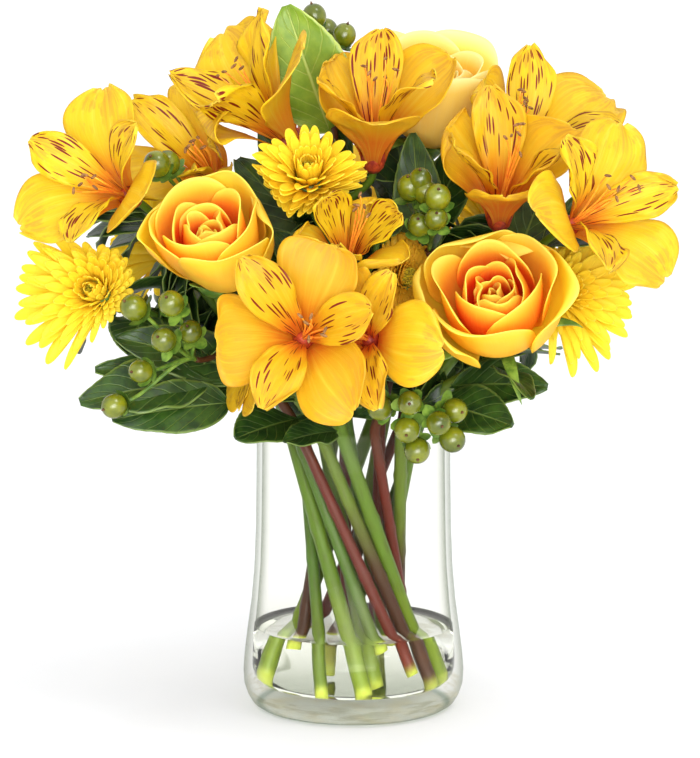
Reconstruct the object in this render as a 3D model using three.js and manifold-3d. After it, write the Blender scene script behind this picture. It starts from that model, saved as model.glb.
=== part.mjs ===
// A glass vase of cut flowers: roses, alstroemerias, chrysanthemums and green hypericum berries.
// Millimetres, +Z up. The origin is the centre of the vase's foot and the bouquet's face looks along -Y.
import * as THREE from "three";
import { mergeVertices } from "three/addons/utils/BufferGeometryUtils.js";
import Module from "manifold-3d";

const wasm = await Module();
wasm.setup();

// ---- driving dimensions ----
const CLEAR = 0.35; // gap kept between pieces that touch
const SLACK = 0.03; // how far a fused surface may move when its slivers are tidied away
const VASE = { height: 150, rimRadius: 50.5, wall: 3, floor: 12, segments: 20 };
const VASE_OUTSIDE = [[50, 0], [55.5, 6], [58, 19], [55.8, 40], [52, 74], [50.5, 148.5]];
const VASE_INSIDE = [[47.5, 148.5], [48.7, 74], [52, 40], [53, 21], [49, 14], [43, 12]];
const WATER = { level: 42, radius: 51.2, gap: 0.5 }; // radius of its surface, and its gap to the glass
const NECK = 146; // height at which the stems pass the vase's mouth
const TWIST = 100; // degrees that the bunched stems turn from the neck to the floor
const SPREAD = 1.15; // how much wider the stems stand on the floor than in the neck
const PRESS = 9; // depth over which a petal bends away from its neighbour
const BLADE = 1; // thickness of a petal or a leaf
const STEM_SIDES = 5;
const FOOT_LIFT = 0.45; // height of a standing stem's foot over the floor, in its radii

const STEM_KINDS = {
  rose: { radius: 3.6, colour: 0x5d7a2c },
  alstroemeria: { radius: 4.2, colour: 0x6f9a35 },
  chrysanthemum: { radius: 3.3, colour: 0x5f8a34 },
  hypericum: { radius: 3.1, colour: 0x6b4526 },
};
const COLOURS = { rose: 0xf7b52c, alstroemeria: 0xf5bb22, chrysanthemum: 0xf6da26, hypericum: 0x98a93a };

// ---- the arrangement ----
// at is the middle of a rose or chrysanthemum and the throat of an alstroemeria. faces is the way it opens.
// roll turns it about that axis, in degrees, and open is how far its petals lean out. A plain bloom has fewer
// steps along each petal.
const BLOOMS = [
  { name: "rose_left", kind: "rose", stem: "rose_left", at: [-70, -80, 247], faces: [-0.1, -0.64, 0.76], roll: 20, size: 1.38 },
  { name: "rose_right", kind: "rose", stem: "rose_right", at: [69, -80, 219], faces: [-0.12, -0.78, 0.61], roll: 75, size: 1.54 },
  { name: "rose_top", kind: "rose", stem: "rose_top", at: [42, 12, 317], faces: [0.1, -0.4, 0.9], roll: 140, size: 1.4 },
  { name: "rose_back", kind: "rose", stem: "rose_back", at: [-6, 90, 262], faces: [0, 0.7, 0.7], roll: 10, size: 1.15 },
  {
    name: "alstroemeria_front", kind: "alstroemeria", stem: "alstroemeria_front",
    at: [-24, -112, 205], faces: [-0.08, -0.95, 0.26], roll: 70, size: 1.22, open: 90,
  },
  {
    name: "alstroemeria_centre", kind: "alstroemeria", stem: "alstroemeria_front",
    at: [7, -100, 203], faces: [-0.3, -0.93, 0.15], roll: -4, size: 1.12, open: 86,
  },
  {
    name: "alstroemeria_middle", kind: "alstroemeria", stem: "alstroemeria_front",
    at: [-3, -74, 238], faces: [0.05, -0.75, 0.66], roll: 70, size: 1.14, open: 74, plain: true,
  },
  {
    name: "alstroemeria_low", kind: "alstroemeria", stem: "alstroemeria_front",
    at: [-46, -74, 191], faces: [-0.85, -0.5, -0.15], roll: 90, size: 0.8, open: 45, plain: true,
  },
  {
    name: "alstroemeria_left", kind: "alstroemeria", stem: "alstroemeria_left",
    at: [-112, -66, 271], faces: [-0.5, -0.78, 0.36], roll: 98, size: 1.16, open: 86,
  },
  {
    name: "alstroemeria_left_rear", kind: "alstroemeria", stem: "alstroemeria_left",
    at: [-70, -16, 275], faces: [-0.3, -0.7, 0.64], roll: 94, size: 1.3, open: 84, plain: true,
  },
  {
    name: "alstroemeria_top_left", kind: "alstroemeria", stem: "alstroemeria_top",
    at: [-36, -26, 298], faces: [-0.62, -0.42, 0.66], roll: 20, size: 1.42, open: 66,
  },
  {
    name: "alstroemeria_top", kind: "alstroemeria", stem: "alstroemeria_top",
    at: [10, -32, 292], faces: [0, -0.5, 0.87], roll: 26, size: 1.36, open: 70,
  },
  {
    name: "alstroemeria_right_top", kind: "alstroemeria", stem: "alstroemeria_right",
    at: [73, -42, 263], faces: [0, -0.6, 0.8], roll: 32, size: 1.42, open: 74,
  },
  {
    name: "alstroemeria_right_high", kind: "alstroemeria", stem: "alstroemeria_right",
    at: [84, -12, 283], faces: [0.25, -0.55, 0.8], roll: 20, size: 1.34, open: 80, plain: true,
  },
  {
    name: "alstroemeria_right", kind: "alstroemeria", stem: "alstroemeria_right",
    at: [107, -70, 257], faces: [0.5, -0.78, 0.38], roll: 66, size: 1.18, open: 84,
  },
  {
    name: "alstroemeria_back_left", kind: "alstroemeria", stem: "alstroemeria_back",
    at: [-58, 98, 216], faces: [-0.4, 0.85, 0.35], roll: 90, size: 1.15, open: 82, plain: true,
  },
  {
    name: "alstroemeria_back", kind: "alstroemeria", stem: "alstroemeria_back",
    at: [22, 112, 208], faces: [0.15, 0.95, 0.25], roll: 30, size: 1.15, open: 85, plain: true,
  },
  {
    name: "alstroemeria_back_top", kind: "alstroemeria", stem: "alstroemeria_back",
    at: [-34, 48, 300], faces: [-0.2, 0.5, 0.85], roll: 60, size: 1.25, open: 74, plain: true,
  },
  {
    name: "chrysanthemum_left", kind: "chrysanthemum", stem: "chrysanthemum_left",
    at: [-127, -72, 224], faces: [-0.2, -0.94, 0.22], roll: 0, size: 1.28,
  },
  {
    name: "chrysanthemum_middle", kind: "chrysanthemum", stem: "chrysanthemum_middle",
    at: [-22, -76, 282], faces: [0, -0.8, 0.6], roll: 9, size: 1.42, open: 0.94,
  },
  {
    name: "chrysanthemum_bud", kind: "chrysanthemum", stem: "chrysanthemum_middle",
    at: [11, -79, 257], faces: [0, -0.5, 0.86], roll: 0, size: 0.64, open: 0.42,
  },
  {
    name: "chrysanthemum_low", kind: "chrysanthemum", stem: "chrysanthemum_middle",
    at: [27, -58, 230], faces: [0.5, -0.8, 0.2], roll: 5, size: 1.14,
  },
  {
    name: "chrysanthemum_right", kind: "chrysanthemum", stem: "chrysanthemum_right",
    at: [105, -44, 222], faces: [0.4, -0.88, 0.25], roll: 4, size: 1.3,
  },
  {
    name: "chrysanthemum_back_left", kind: "chrysanthemum", stem: "chrysanthemum_back",
    at: [-104, 52, 240], faces: [-0.7, 0.55, 0.45], roll: 0, size: 1.3,
  },
  {
    name: "chrysanthemum_back_right", kind: "chrysanthemum", stem: "chrysanthemum_back",
    at: [84, 66, 248], faces: [0.6, 0.6, 0.52], roll: 7, size: 1.3,
  },
];

// Each cluster of berries stands on a fork of its stem. Berries are listed by their centres.
const CLUSTERS = [
  {
    name: "left_low", stem: "hypericum_left", fork: [-78, -68, 190],
    berries: [[-87, -106, 221], [-106, -94, 218], [-91, -101, 203], [-103, -93, 187], [-116, -92, 170], [-79, -90, 206]],
  },
  { name: "left_high", stem: "hypericum_left", fork: [-74, -34, 256], berries: [[-96, -64, 280], [-84, -58, 287]] },
  {
    name: "right_low", stem: "hypericum_right", fork: [31, -64, 166],
    berries: [[13, -84, 168], [27, -97, 172], [50, -84, 168], [26, -91, 158], [41, -95, 162], [48, -88, 153], [31, -84, 147]],
  },
  {
    name: "centre", stem: "hypericum_centre", fork: [38, -44, 242],
    berries: [[31, -78, 254], [42, -84, 271], [45, -84, 253], [25, -60, 279], [39, -62, 282], [52, -58, 277]],
  },
  { name: "top", stem: "hypericum_top", fork: [-12, 0, 334], berries: [[-20, -5, 359], [-4, -9, 348], [-14, 12, 352]] },
  {
    name: "back_left", stem: "hypericum_back", fork: [-92, 66, 188],
    berries: [[-112, 82, 196], [-104, 90, 208], [-118, 72, 208]],
  },
  {
    name: "back_right", stem: "hypericum_back", fork: [62, 88, 200],
    berries: [[72, 108, 212], [84, 98, 208], [62, 112, 222]],
  },
];
const BERRY_RADIUS = 6.3;
const BERRY_ROOM = 20; // space that a cluster holds past the centres of its berries

// Stems pass the neck at a distance and an angle from the vase's axis. fork is where a stem divides, and short
// is the share of the way from floor to neck by which it stops above the floor.
const STEMS = [
  { name: "alstroemeria_front", kind: "alstroemeria", neck: [34, 261], fork: [-12, -50, 178] },
  { name: "hypericum_right", kind: "hypericum", neck: [32, 290], short: 0.12 },
  { name: "rose_right", kind: "rose", neck: [35, 314], short: 0.07 },
  { name: "alstroemeria_right", kind: "alstroemeria", neck: [33, 338], fork: [78, -30, 222] },
  { name: "chrysanthemum_right", kind: "chrysanthemum", neck: [34, 3], short: 0.16 },
  { name: "hypericum_back", kind: "hypericum", neck: [32, 38], short: 0.05, fork: [16, 66, 176] },
  { name: "alstroemeria_back", kind: "alstroemeria", neck: [34, 72], fork: [-6, 58, 194] },
  { name: "rose_back", kind: "rose", neck: [30, 108], short: 0.1 },
  { name: "chrysanthemum_back", kind: "chrysanthemum", neck: [33, 146], fork: [-26, 26, 196] },
  { name: "alstroemeria_left", kind: "alstroemeria", neck: [33, 178], fork: [-84, -38, 236] },
  { name: "chrysanthemum_left", kind: "chrysanthemum", neck: [32, 203], short: 0.13 },
  { name: "hypericum_left", kind: "hypericum", neck: [36, 221], short: 0.06 },
  { name: "rose_left", kind: "rose", neck: [34, 241] },
  { name: "chrysanthemum_middle", kind: "chrysanthemum", neck: [17, 262], short: 0.08, fork: [2, -42, 216] },
  { name: "hypericum_centre", kind: "hypericum", neck: [18, 320], short: 0.17 },
  { name: "rose_top", kind: "rose", neck: [17, 25] },
  { name: "hypericum_top", kind: "hypericum", neck: [6, 140], short: 0.14 },
  { name: "alstroemeria_top", kind: "alstroemeria", neck: [17, 200], fork: [-10, -18, 256] },
];

// Leaves grow from a stem at a share of its length above the neck. stalk is the bare share of the leaf, and
// side is the way its upper face looks.
const LEAVES = [
  { stem: "rose_left", share: 0.34, stalk: 0.4, tip: [-134, -80, 170], side: [-0.1, -0.8, 0.6], width: 32 },
  { stem: "rose_left", share: 0.22, stalk: 0.4, tip: [-118, -84, 162], side: [-0.1, -0.9, 0.4], width: 28 },
  { stem: "rose_left", share: 0.12, stalk: 0.2, tip: [-58, -80, 152], side: [-0.4, -0.85, 0.2], width: 28 },
  { stem: "alstroemeria_front", share: 0.1, stalk: 0.1, tip: [-34, -78, 150], side: [-0.3, -0.85, 0.3], width: 18 },
  { stem: "alstroemeria_front", share: 0.5, stalk: 0.1, tip: [-10, -88, 164], side: [0.1, -0.7, 0.7], width: 26 },
  { stem: "rose_right", share: 0.3, stalk: 0.2, tip: [78, -78, 158], side: [0.2, -0.9, 0.3], width: 28 },
  { stem: "rose_right", share: 0.7, stalk: 0.3, tip: [86, -98, 174], side: [0.3, -0.4, 0.9], width: 16 },
  { stem: "alstroemeria_right", share: 0.85, stalk: 0.3, tip: [150, 2, 230], side: [0.2, -0.25, 0.9], width: 24 },
  { stem: "hypericum_top", share: 0.8, stalk: 0.1, tip: [-34, -20, 364], side: [-0.1, -0.97, 0.2], width: 42 },
  { stem: "rose_top", share: 0.6, stalk: 0.2, tip: [62, -16, 300], side: [0, -0.9, 0.4], width: 26 },
  { stem: "rose_back", share: 0.3, stalk: 0.2, tip: [-24, 100, 178], side: [-0.1, 0.7, 0.7], width: 34 },
  { stem: "chrysanthemum_back", share: 0.3, stalk: 0.2, tip: [-108, 62, 176], side: [-0.4, 0.5, 0.75], width: 30 },
  { stem: "chrysanthemum_right", share: 0.3, stalk: 0.2, tip: [112, 52, 182], side: [0.5, 0.4, 0.75], width: 30 },
  { stem: "rose_top", share: 0.18, stalk: 0.3, tip: [108, 6, 184], side: [0.6, 0, 0.8], width: 28 },
  { stem: "chrysanthemum_left", share: 0.35, stalk: 0.2, tip: [-116, 0, 186], side: [-0.7, 0, 0.7], width: 30 },
];

// ---- vectors and paths ----
const vec = (a) => new THREE.Vector3(...a);
const radians = THREE.MathUtils.degToRad;
const lerp = THREE.MathUtils.lerp;
const mix = (a, b, t) => a.clone().lerp(b, t);
const step = (from, direction, length) => from.clone().addScaledVector(direction, length);

// A function from a bloom's own coordinates, w along the way it opens, to the vase's.
function placing(at, faces, roll) {
  const w = vec(faces).normalize();
  const across = new THREE.Vector3(0, 0, 1).cross(w).normalize();
  const upward = w.clone().cross(across);
  const turn = radians(roll);
  const u = across.clone().multiplyScalar(Math.cos(turn)).addScaledVector(upward, Math.sin(turn));
  const v = w.clone().cross(u);
  return (x, y, z) => vec(at).addScaledVector(u, x).addScaledVector(v, y).addScaledVector(w, z);
}

// Radius and height reached at share s of a petal's length. Its lean from the axis goes evenly from stop
// to stop; a stop is [share, degrees].
function leanPath(stops, length, s) {
  const at = { r: 0, h: 0, lean: radians(stops[0][1]) };
  for (let i = 1; i < stops.length && s > stops[i - 1][0]; i++) {
    const [s0, a0] = stops[i - 1];
    const [s1, a1] = stops[i];
    const part = (Math.min(s, s1) - s0) / (s1 - s0);
    const from = radians(a0);
    const turn = radians(a1 - a0) * part || 1e-6;
    const run = length * (s1 - s0) * part;
    at.r += (run * (Math.cos(from) - Math.cos(from + turn))) / turn;
    at.h += (run * (Math.sin(from + turn) - Math.sin(from))) / turn;
    at.lean = from + turn;
  }
  return at;
}

// ---- closed solids ----
function solid(points, triangles) {
  const vertProperties = new Float32Array(points.flatMap((p) => [p.x, p.y, p.z]));
  const triVerts = new Uint32Array(triangles.flat());
  return new wasm.Manifold(new wasm.Mesh({ numProp: 3, vertProperties, triVerts }));
}

function solidOf(geometry) {
  geometry.deleteAttribute("normal");
  geometry.deleteAttribute("uv");
  const merged = mergeVertices(geometry, 1e-3);
  const vertProperties = merged.attributes.position.array;
  return new wasm.Manifold(new wasm.Mesh({ numProp: 3, vertProperties, triVerts: new Uint32Array(merged.index.array) }));
}

// A petal or leaf from rows of mid-surface points, thickened evenly and split alike on both faces.
function blade(rows, thickness, swell) {
  const high = rows.length;
  const wide = rows[0].length;
  const grid = rows.map((row) => row.map((p) => p.clone()));
  for (const row of grid) {
    const reach = row[wide - 1].clone().sub(row[0]).normalize();
    row[0].addScaledVector(reach, -swell);
    row[wide - 1].addScaledVector(reach, swell);
  }
  grid[high - 1].forEach((p, c) => p.add(p.clone().sub(grid[high - 2][c]).normalize().multiplyScalar(swell)));
  const clampRow = (r) => Math.min(Math.max(r, 0), high - 1);
  const clampColumn = (c) => Math.min(Math.max(c, 0), wide - 1);
  const normal = (r, c) => {
    const along = grid[clampRow(r + 1)][c].clone().sub(grid[clampRow(r - 1)][c]);
    const across = grid[r][clampColumn(c + 1)].clone().sub(grid[r][clampColumn(c - 1)]);
    return across.cross(along).normalize();
  };
  const faces = [1, -1].map((side) =>
    grid.flatMap((row, r) => row.map((p, c) => step(p, normal(r, c), side * (thickness / 2 + swell)))),
  );
  const index = (side, r, c) => side * high * wide + r * wide + c;
  const triangles = [];
  for (let r = 0; r + 1 < high; r++)
    for (let c = 0; c + 1 < wide; c++) {
      const corners = [[r, c], [r, c + 1], [r + 1, c + 1], [r + 1, c]];
      const start = c < (wide - 1) / 2 ? 0 : 1; // the diagonals mirror about the midrib
      for (const k of [1, 2]) {
        const three = [start, (start + k) % 4, (start + k + 1) % 4].map((i) => corners[i]);
        triangles.push(three.map(([a, b]) => index(0, a, b)));
        triangles.push(three.map(([a, b]) => index(1, a, b)).reverse());
      }
    }
  const rim = [
    ...grid[0].slice(1).map((_, c) => [0, c]),
    ...grid.slice(1).map((_, r) => [r, wide - 1]),
    ...grid[0].slice(1).map((_, c) => [high - 1, wide - 1 - c]),
    ...grid.slice(1).map((_, r) => [high - 1 - r, 0]),
  ];
  rim.forEach(([r, c], i) => {
    const [r2, c2] = rim[(i + 1) % rim.length];
    triangles.push([index(0, r2, c2), index(0, r, c), index(1, r, c)]);
    triangles.push([index(0, r2, c2), index(1, r, c), index(1, r2, c2)]);
  });
  return solid(faces.flat(), triangles);
}

// A round stem along points, with a radius for each of them.
function tube(points, radii, sides) {
  const rings = [];
  let side = null;
  points.forEach((p, i) => {
    const before = points[Math.max(i - 1, 0)];
    const after = points[Math.min(i + 1, points.length - 1)];
    const along = after.clone().sub(before).normalize();
    if (!side) side = Math.abs(along.x) < 0.8 ? new THREE.Vector3(1, 0, 0) : new THREE.Vector3(0, 1, 0);
    side.addScaledVector(along, -side.dot(along)).normalize();
    const other = along.clone().cross(side);
    for (let k = 0; k < sides; k++) {
      const turn = (2 * Math.PI * k) / sides;
      rings.push(step(step(p, side, radii[i] * Math.cos(turn)), other, radii[i] * Math.sin(turn)));
    }
  });
  const triangles = [];
  for (let i = 0; i + 1 < points.length; i++)
    for (let k = 0; k < sides; k++) {
      const [a, b] = [i * sides + k, i * sides + ((k + 1) % sides)];
      triangles.push([a, b, b + sides], [a, b + sides, a + sides]);
    }
  const end = (points.length - 1) * sides;
  for (let k = 1; k + 1 < sides; k++) {
    triangles.push([0, k + 1, k]);
    triangles.push([end, end + k, end + k + 1]);
  }
  return solid(rings, triangles);
}

// ---- keeping the blooms apart ----
const REACH = { rose: 36, alstroemeria: 37, chrysanthemum: 30 };
const FORWARD = { rose: 0, alstroemeria: 14, chrysanthemum: -6 };

// The space each bloom or cluster holds, as a centre and a radius.
const homes = new Map();
for (const { name, kind, at, faces, size = 1 } of BLOOMS)
  homes.set(name, { centre: placing(at, faces, 0)(0, 0, FORWARD[kind] * size), radius: REACH[kind] * size });
for (const { name, berries } of CLUSTERS) {
  const centre = berries.map(vec).reduce((sum, b) => sum.addScaledVector(b, 1 / berries.length), vec([0, 0, 0]));
  const reach = Math.max(...berries.map((b) => vec(b).distanceTo(centre)));
  homes.set("berries_" + name, { centre, radius: reach + BERRY_ROOM });
}

// The walls that a bloom shares with its neighbours, and how far a point lies past where petals begin to bend.
function walls(point, name, margin) {
  const home = homes.get(name);
  const found = [];
  for (const [other, { centre, radius }] of homes) {
    const apart = centre.distanceTo(home.centre);
    if (other === name || apart > home.radius + radius + PRESS) continue;
    const towards = centre.clone().sub(home.centre).divideScalar(apart);
    const wall = (apart ** 2 + home.radius ** 2 - radius ** 2) / (2 * apart) - CLEAR - margin;
    found.push({ towards, past: point.clone().sub(home.centre).dot(towards) - (wall - PRESS) });
  }
  return found;
}

const crowding = (point, name, margin) => Math.max(0, ...walls(point, name, margin).map(({ past }) => past - PRESS));

// Moves a point of one bloom back from the walls that it shares with its neighbours, so that petals press
// against each other and never cross. margin is the piece's own half thickness.
function settle(point, name, margin) {
  for (const { towards, past } of walls(point, name, margin))
    if (past > 0) point.addScaledVector(towards, PRESS * (1 - Math.exp(-past / PRESS)) - past);
  return point;
}

// ---- blooms ----
// The share of its full spread that a rose petal has at share s of its length.
const petalSpread = (s) => 0.3 + 0.7 * Math.sin(Math.PI * (0.08 + 0.68 * s));
const ROSE = { petals: 8, root: [6.5, 3], rootHeight: [-17, -14], length: [45, 27], halfAngle: [48, 72] };

function rose({ name, at, faces, roll, size = 1 }, swell) {
  const place = placing(at, faces, roll);
  const pieces = [];
  for (let i = 0; i < ROSE.petals; i++) {
    const inward = i / (ROSE.petals - 1);
    const angle = radians(137.5 * i);
    const stops = [
      [0, lerp(78, 40, inward)],
      [0.68, lerp(6, -6, inward)],
      [1, lerp(72, -22, Math.min(1, inward * 1.7))],
    ];
    const rows = [0, 0.36, 0.7, 1].map((s) =>
      [-1, 0, 1].map((t) => {
        const { r, h } = leanPath(stops, lerp(...ROSE.length, inward), s * (1 - 0.13 * t * t * s));
        const half = radians(lerp(...ROSE.halfAngle, inward)) * petalSpread(s);
        const around = angle + t * half;
        const out = (lerp(...ROSE.root, inward) + r) * size;
        const up = (lerp(...ROSE.rootHeight, inward) + h) * size;
        return settle(place(out * Math.cos(around), out * Math.sin(around), up), name, BLADE / 2);
      }),
    );
    pieces.push(blade(rows, BLADE, swell));
  }
  const heart = [[-24, 2.4], [-19, 9], [-13, 8.5], [-8, 3]];
  pieces.push(tube(heart.map(([z]) => place(0, 0, z * size)), heart.map(([, r]) => r * size + swell), 5));
  return pieces;
}

const TEPAL = { length: 52, outerWidth: 37, innerWidth: 20, stamens: 34 };

// The share of its full width that a tepal has at share s of its length.
const tepalWidth = (s) => 0.14 + 0.86 * Math.sin(Math.PI * s ** 2) ** 0.8;

function alstroemeria({ name, at, faces, roll, size = 1, open, plain }, swell) {
  const place = placing(at, faces, roll);
  const pieces = [];
  for (let k = 0; k < 6; k++) {
    const inner = k % 2 === 1;
    const angle = radians(60 * k);
    const stops = [[0, 8], [1, inner ? open - 14 : open + 10]];
    const width = inner ? TEPAL.innerWidth : TEPAL.outerWidth;
    const shares = inner || plain ? [0, 0.58, 0.97] : [0, 0.42, 0.74, 0.97];
    const rows = shares.map((s) =>
      [-1, 0, 1].map((t) => {
        const { r, h, lean } = leanPath(stops, TEPAL.length, s);
        const side = (t * width * tepalWidth(s)) / 2;
        const cup = (inner ? 0.3 : 0.12 * s) * Math.abs(side);
        const out = (inner ? 1.4 : 3.6) + r - cup * Math.cos(lean);
        const up = h + cup * Math.sin(lean) - 5;
        const x = out * Math.cos(angle) - side * Math.sin(angle);
        const y = out * Math.sin(angle) + side * Math.cos(angle);
        return settle(place(x * size, y * size, up * size), name, BLADE / 2);
      }),
    );
    pieces.push(blade(rows, BLADE, swell));
  }
  const throat = [[-9, 2.6], [-6, 5], [-2, 5.2], [TEPAL.stamens, 1.2]];
  pieces.push(tube(throat.map(([z]) => place(0, 0, z * size)), throat.map(([, r]) => r * size + swell), 5));
  return pieces;
}

// Layers of florets from the outside in: their length, where their roots stand on the hub, as radius and
// height, and their lean at root and tip.
const LAYERS = [
  { length: 26, root: [6.5, -8], width: 8.5, lean: [62, 98] },
  { length: 22, root: [5.5, -4], width: 7.5, lean: [32, 78] },
  { length: 15, root: [4, -1], width: 5, lean: [12, 44] },
];
const FLORETS = 11; // in each layer
const FLORET_KEEL = 1.8; // depth of a floret's keel behind its face
const FLORET_SHARE = 0.42; // most of the room across that half of a floret takes

// One closed star. The hub is a stack of loops turned by half a floret each, and every floret grows out of
// the triangle between two points of its own loop and one of the loop below.
function chrysanthemum({ name, at, faces, roll, size = 1, open = 1 }, swell) {
  const place = placing(at, faces, roll);
  const origin = place(0, 0, 0);
  const turn = (2 * Math.PI) / FLORETS;
  const spot = (r, z, angle) => place(r * Math.cos(angle) * size, r * Math.sin(angle) * size, z * size);
  const loops = [[4.5, -15], ...LAYERS.map((layer) => layer.root)];
  const points = loops.flatMap(([r, z], i) =>
    Array.from({ length: FLORETS }, (_, k) => spot(r + swell, z, (k + i / 2) * turn)),
  );
  const triangles = [];
  for (const [i, { length, root, width, lean }] of LAYERS.entries()) {
    const stops = lean.map((degrees, end) => [end, degrees * lerp(0.25, 1, open)]);
    for (let k = 0; k < FLORETS; k++) {
      const next = (k + 1) % FLORETS;
      const [left, right] = [(i + 1) * FLORETS + k, (i + 1) * FLORETS + next];
      const keel = i * FLORETS + next;
      triangles.push([i * FLORETS + k, keel, left]);
      const angle = (k + 0.5 + (i + 1) / 2) * turn;
      const sideways = place(-Math.sin(angle), Math.cos(angle), 0).sub(origin);
      const middle = (s, reach) => {
        const { r, h } = leanPath(stops, length * reach, s);
        return spot(root[0] + r, root[1] + h, angle);
      };
      const reach = [1, 0.85, 0.7, 0.55, 0.4].find((q) => crowding(middle(1, q), name, 1) < PRESS / 3) ?? 0.3;
      const wide = settle(middle(0.76, reach), name, 1);
      const tip = settle(middle(1 + swell / length, reach), name, 1);
      const up = tip.clone().sub(wide).cross(sideways).normalize();
      const ring = turn * (root[0] + leanPath(stops, length * reach, 0.76).r); // room across for each floret
      const half = Math.min((width * Math.sqrt(reach)) / 2, ring * FLORET_SHARE) + swell;
      const start = points.length;
      const face = step(wide, up, swell);
      points.push(step(face, sideways, -half), step(face, sideways, half), step(wide, up, -FLORET_KEEL - swell), tip);
      const roots = [left, right, keel];
      for (const [m, n] of [[1, 0], [2, 1], [0, 2]]) {
        triangles.push([roots[m], roots[n], start + n], [roots[m], start + n, start + m]);
        triangles.push([start + m, start + n, start + 3]);
      }
    }
  }
  const [back, front] = [points.length, points.length + 1];
  points.push(place(0, 0, -16 * size - swell), place(0, 0, 1.5 * size + swell));
  const top = LAYERS.length * FLORETS;
  for (let k = 0; k < FLORETS; k++) {
    const next = (k + 1) % FLORETS;
    triangles.push([back, next, k], [front, top + k, top + next]);
  }
  return [solid(points, triangles)];
}

const MAKERS = { rose, alstroemeria, chrysanthemum };
const SEAT = { rose: -24, alstroemeria: -9, chrysanthemum: -16 }; // where the stem meets the bloom, along its axis

// ---- stems ----
const polar = (radius, degrees, z) => vec([radius * Math.cos(radians(degrees)), radius * Math.sin(radians(degrees)), z]);
const stemNeck = ({ neck: [radius, angle] }) => polar(radius, angle, NECK);

function stemFoot(stem) {
  const [radius, angle] = stem.neck;
  const floor = polar(radius * SPREAD, angle + TWIST, VASE.floor + CLEAR + STEM_KINDS[stem.kind].radius * FOOT_LIFT);
  return mix(floor, stemNeck(stem), stem.short ?? 0);
}

// A smooth branch that leaves one point along a direction and reaches another along a second one.
function branch(from, leaving, to, arriving, count) {
  const pull = from.distanceTo(to) * 0.36;
  const curve = new THREE.CubicBezierCurve3(from, step(from, leaving, pull), step(to, arriving, -pull), to);
  return curve.getPoints(count);
}

// Every tube of a stem: the main one from the floor to its head or fork, then one to each head.
function routes(stem) {
  const foot = stemFoot(stem);
  const neck = stemNeck(stem);
  const rising = neck.clone().sub(foot).normalize();
  const radius = STEM_KINDS[stem.kind].radius;
  const heads = BLOOMS.filter((b) => b.stem === stem.name).map((b) => {
    const place = placing(b.at, b.faces, 0);
    const seat = SEAT[b.kind] * (b.size ?? 1) - CLEAR;
    return { end: place(0, 0, seat), arriving: vec(b.faces).normalize() };
  });
  for (const c of CLUSTERS.filter((c) => c.stem === stem.name)) {
    const home = homes.get("berries_" + c.name).centre;
    heads.push({ end: vec(c.fork), arriving: home.clone().sub(vec(c.fork)).normalize() });
  }
  if (heads.length === 1) {
    const { end, arriving } = heads[0];
    return [{ points: [foot, ...branch(neck, rising, end, arriving, 4)], radius, sides: STEM_SIDES }];
  }
  const fork = stem.fork ? vec(stem.fork) : heads[0].end.clone().lerp(heads[1].end, 0.5).lerp(neck, 0.45);
  const upward = fork.clone().sub(neck).normalize();
  const main = { points: [foot, ...branch(neck, rising, fork, upward, 3)], radius, sides: STEM_SIDES };
  const twigs = heads.map(({ end, arriving }) => ({
    points: branch(step(fork, upward, -1), upward, end, arriving, 3),
    radius: radius * 0.55,
    sides: 4,
  }));
  return [main, ...twigs];
}

const taper = (count, radius, last) => Array.from({ length: count }, (_, i) => lerp(radius, last, i / (count - 1)));

function bareStem(stem, swell) {
  return routes(stem).map(({ points, radius, sides }) =>
    tube(points, taper(points.length, radius, radius * 0.82).map((r) => r + swell), sides),
  );
}

// The point of a stem's main tube at a share of its length above the neck.
function alongStem(stem, share) {
  const curve = new THREE.CatmullRomCurve3(routes(stem)[0].points.slice(1));
  return curve.getPoint(share);
}

const leafWidth = (s) => 0.08 + 0.92 * Math.sin(Math.PI * s ** 0.8) ** 0.8;

function leaf({ stem, share, stalk, tip, side, width }, swell) {
  const owner = STEMS.find((s) => s.name === stem);
  const from = alongStem(owner, share);
  const to = vec(tip);
  const face = vec(side).normalize();
  const bend = step(mix(from, to, 0.45), face, from.distanceTo(to) * 0.16);
  const rib = new THREE.QuadraticBezierCurve3(from, bend, to);
  const rows = [-1, 0, 0.34, 0.7, 0.99].map((part) => {
    const s = part < 0 ? 0 : lerp(stalk, 1, part);
    const middle = rib.getPoint(s);
    const along = rib.getTangent(s);
    const across = along.clone().cross(face).normalize();
    const lift = across.clone().cross(along).normalize();
    return [-1, 0, 1].map((t) => {
      const half = (t * width * leafWidth(Math.max(part, 0))) / 2;
      return step(step(middle, across, half), lift, 0.22 * Math.abs(half));
    });
  });
  return blade(rows, BLADE, swell);
}

// ---- hypericum ----
// A berry, its cup of sepals and its stalk are one round profile: [distance before the berry's middle, radius].
const BERRY = [[8, 1], [3.6, 5.8], [-2.4, 6], [-6.5, 1.4]];

function berries({ name, fork, berries: centres }, swell) {
  const own = "berries_" + name;
  const root = vec(fork);
  const outward = homes.get(own).centre.clone().sub(root).normalize();
  return centres.map((centre) => {
    const at = settle(vec(centre), own, BERRY_RADIUS);
    const facing = mix(outward, at.clone().sub(root).normalize(), 0.7).normalize();
    const points = [step(root, outward, -1.5), ...BERRY.map(([back]) => step(at, facing, -back - Math.sign(back) * swell))];
    return tube(points, [1, ...BERRY.map(([, radius]) => radius)].map((r) => r + swell), 5);
  });
}

// ---- glass and water ----
const lathe = (profile) =>
  solidOf(new THREE.LatheGeometry(profile.map(([r, z]) => new THREE.Vector2(r, z)), VASE.segments).rotateX(Math.PI / 2));

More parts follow.
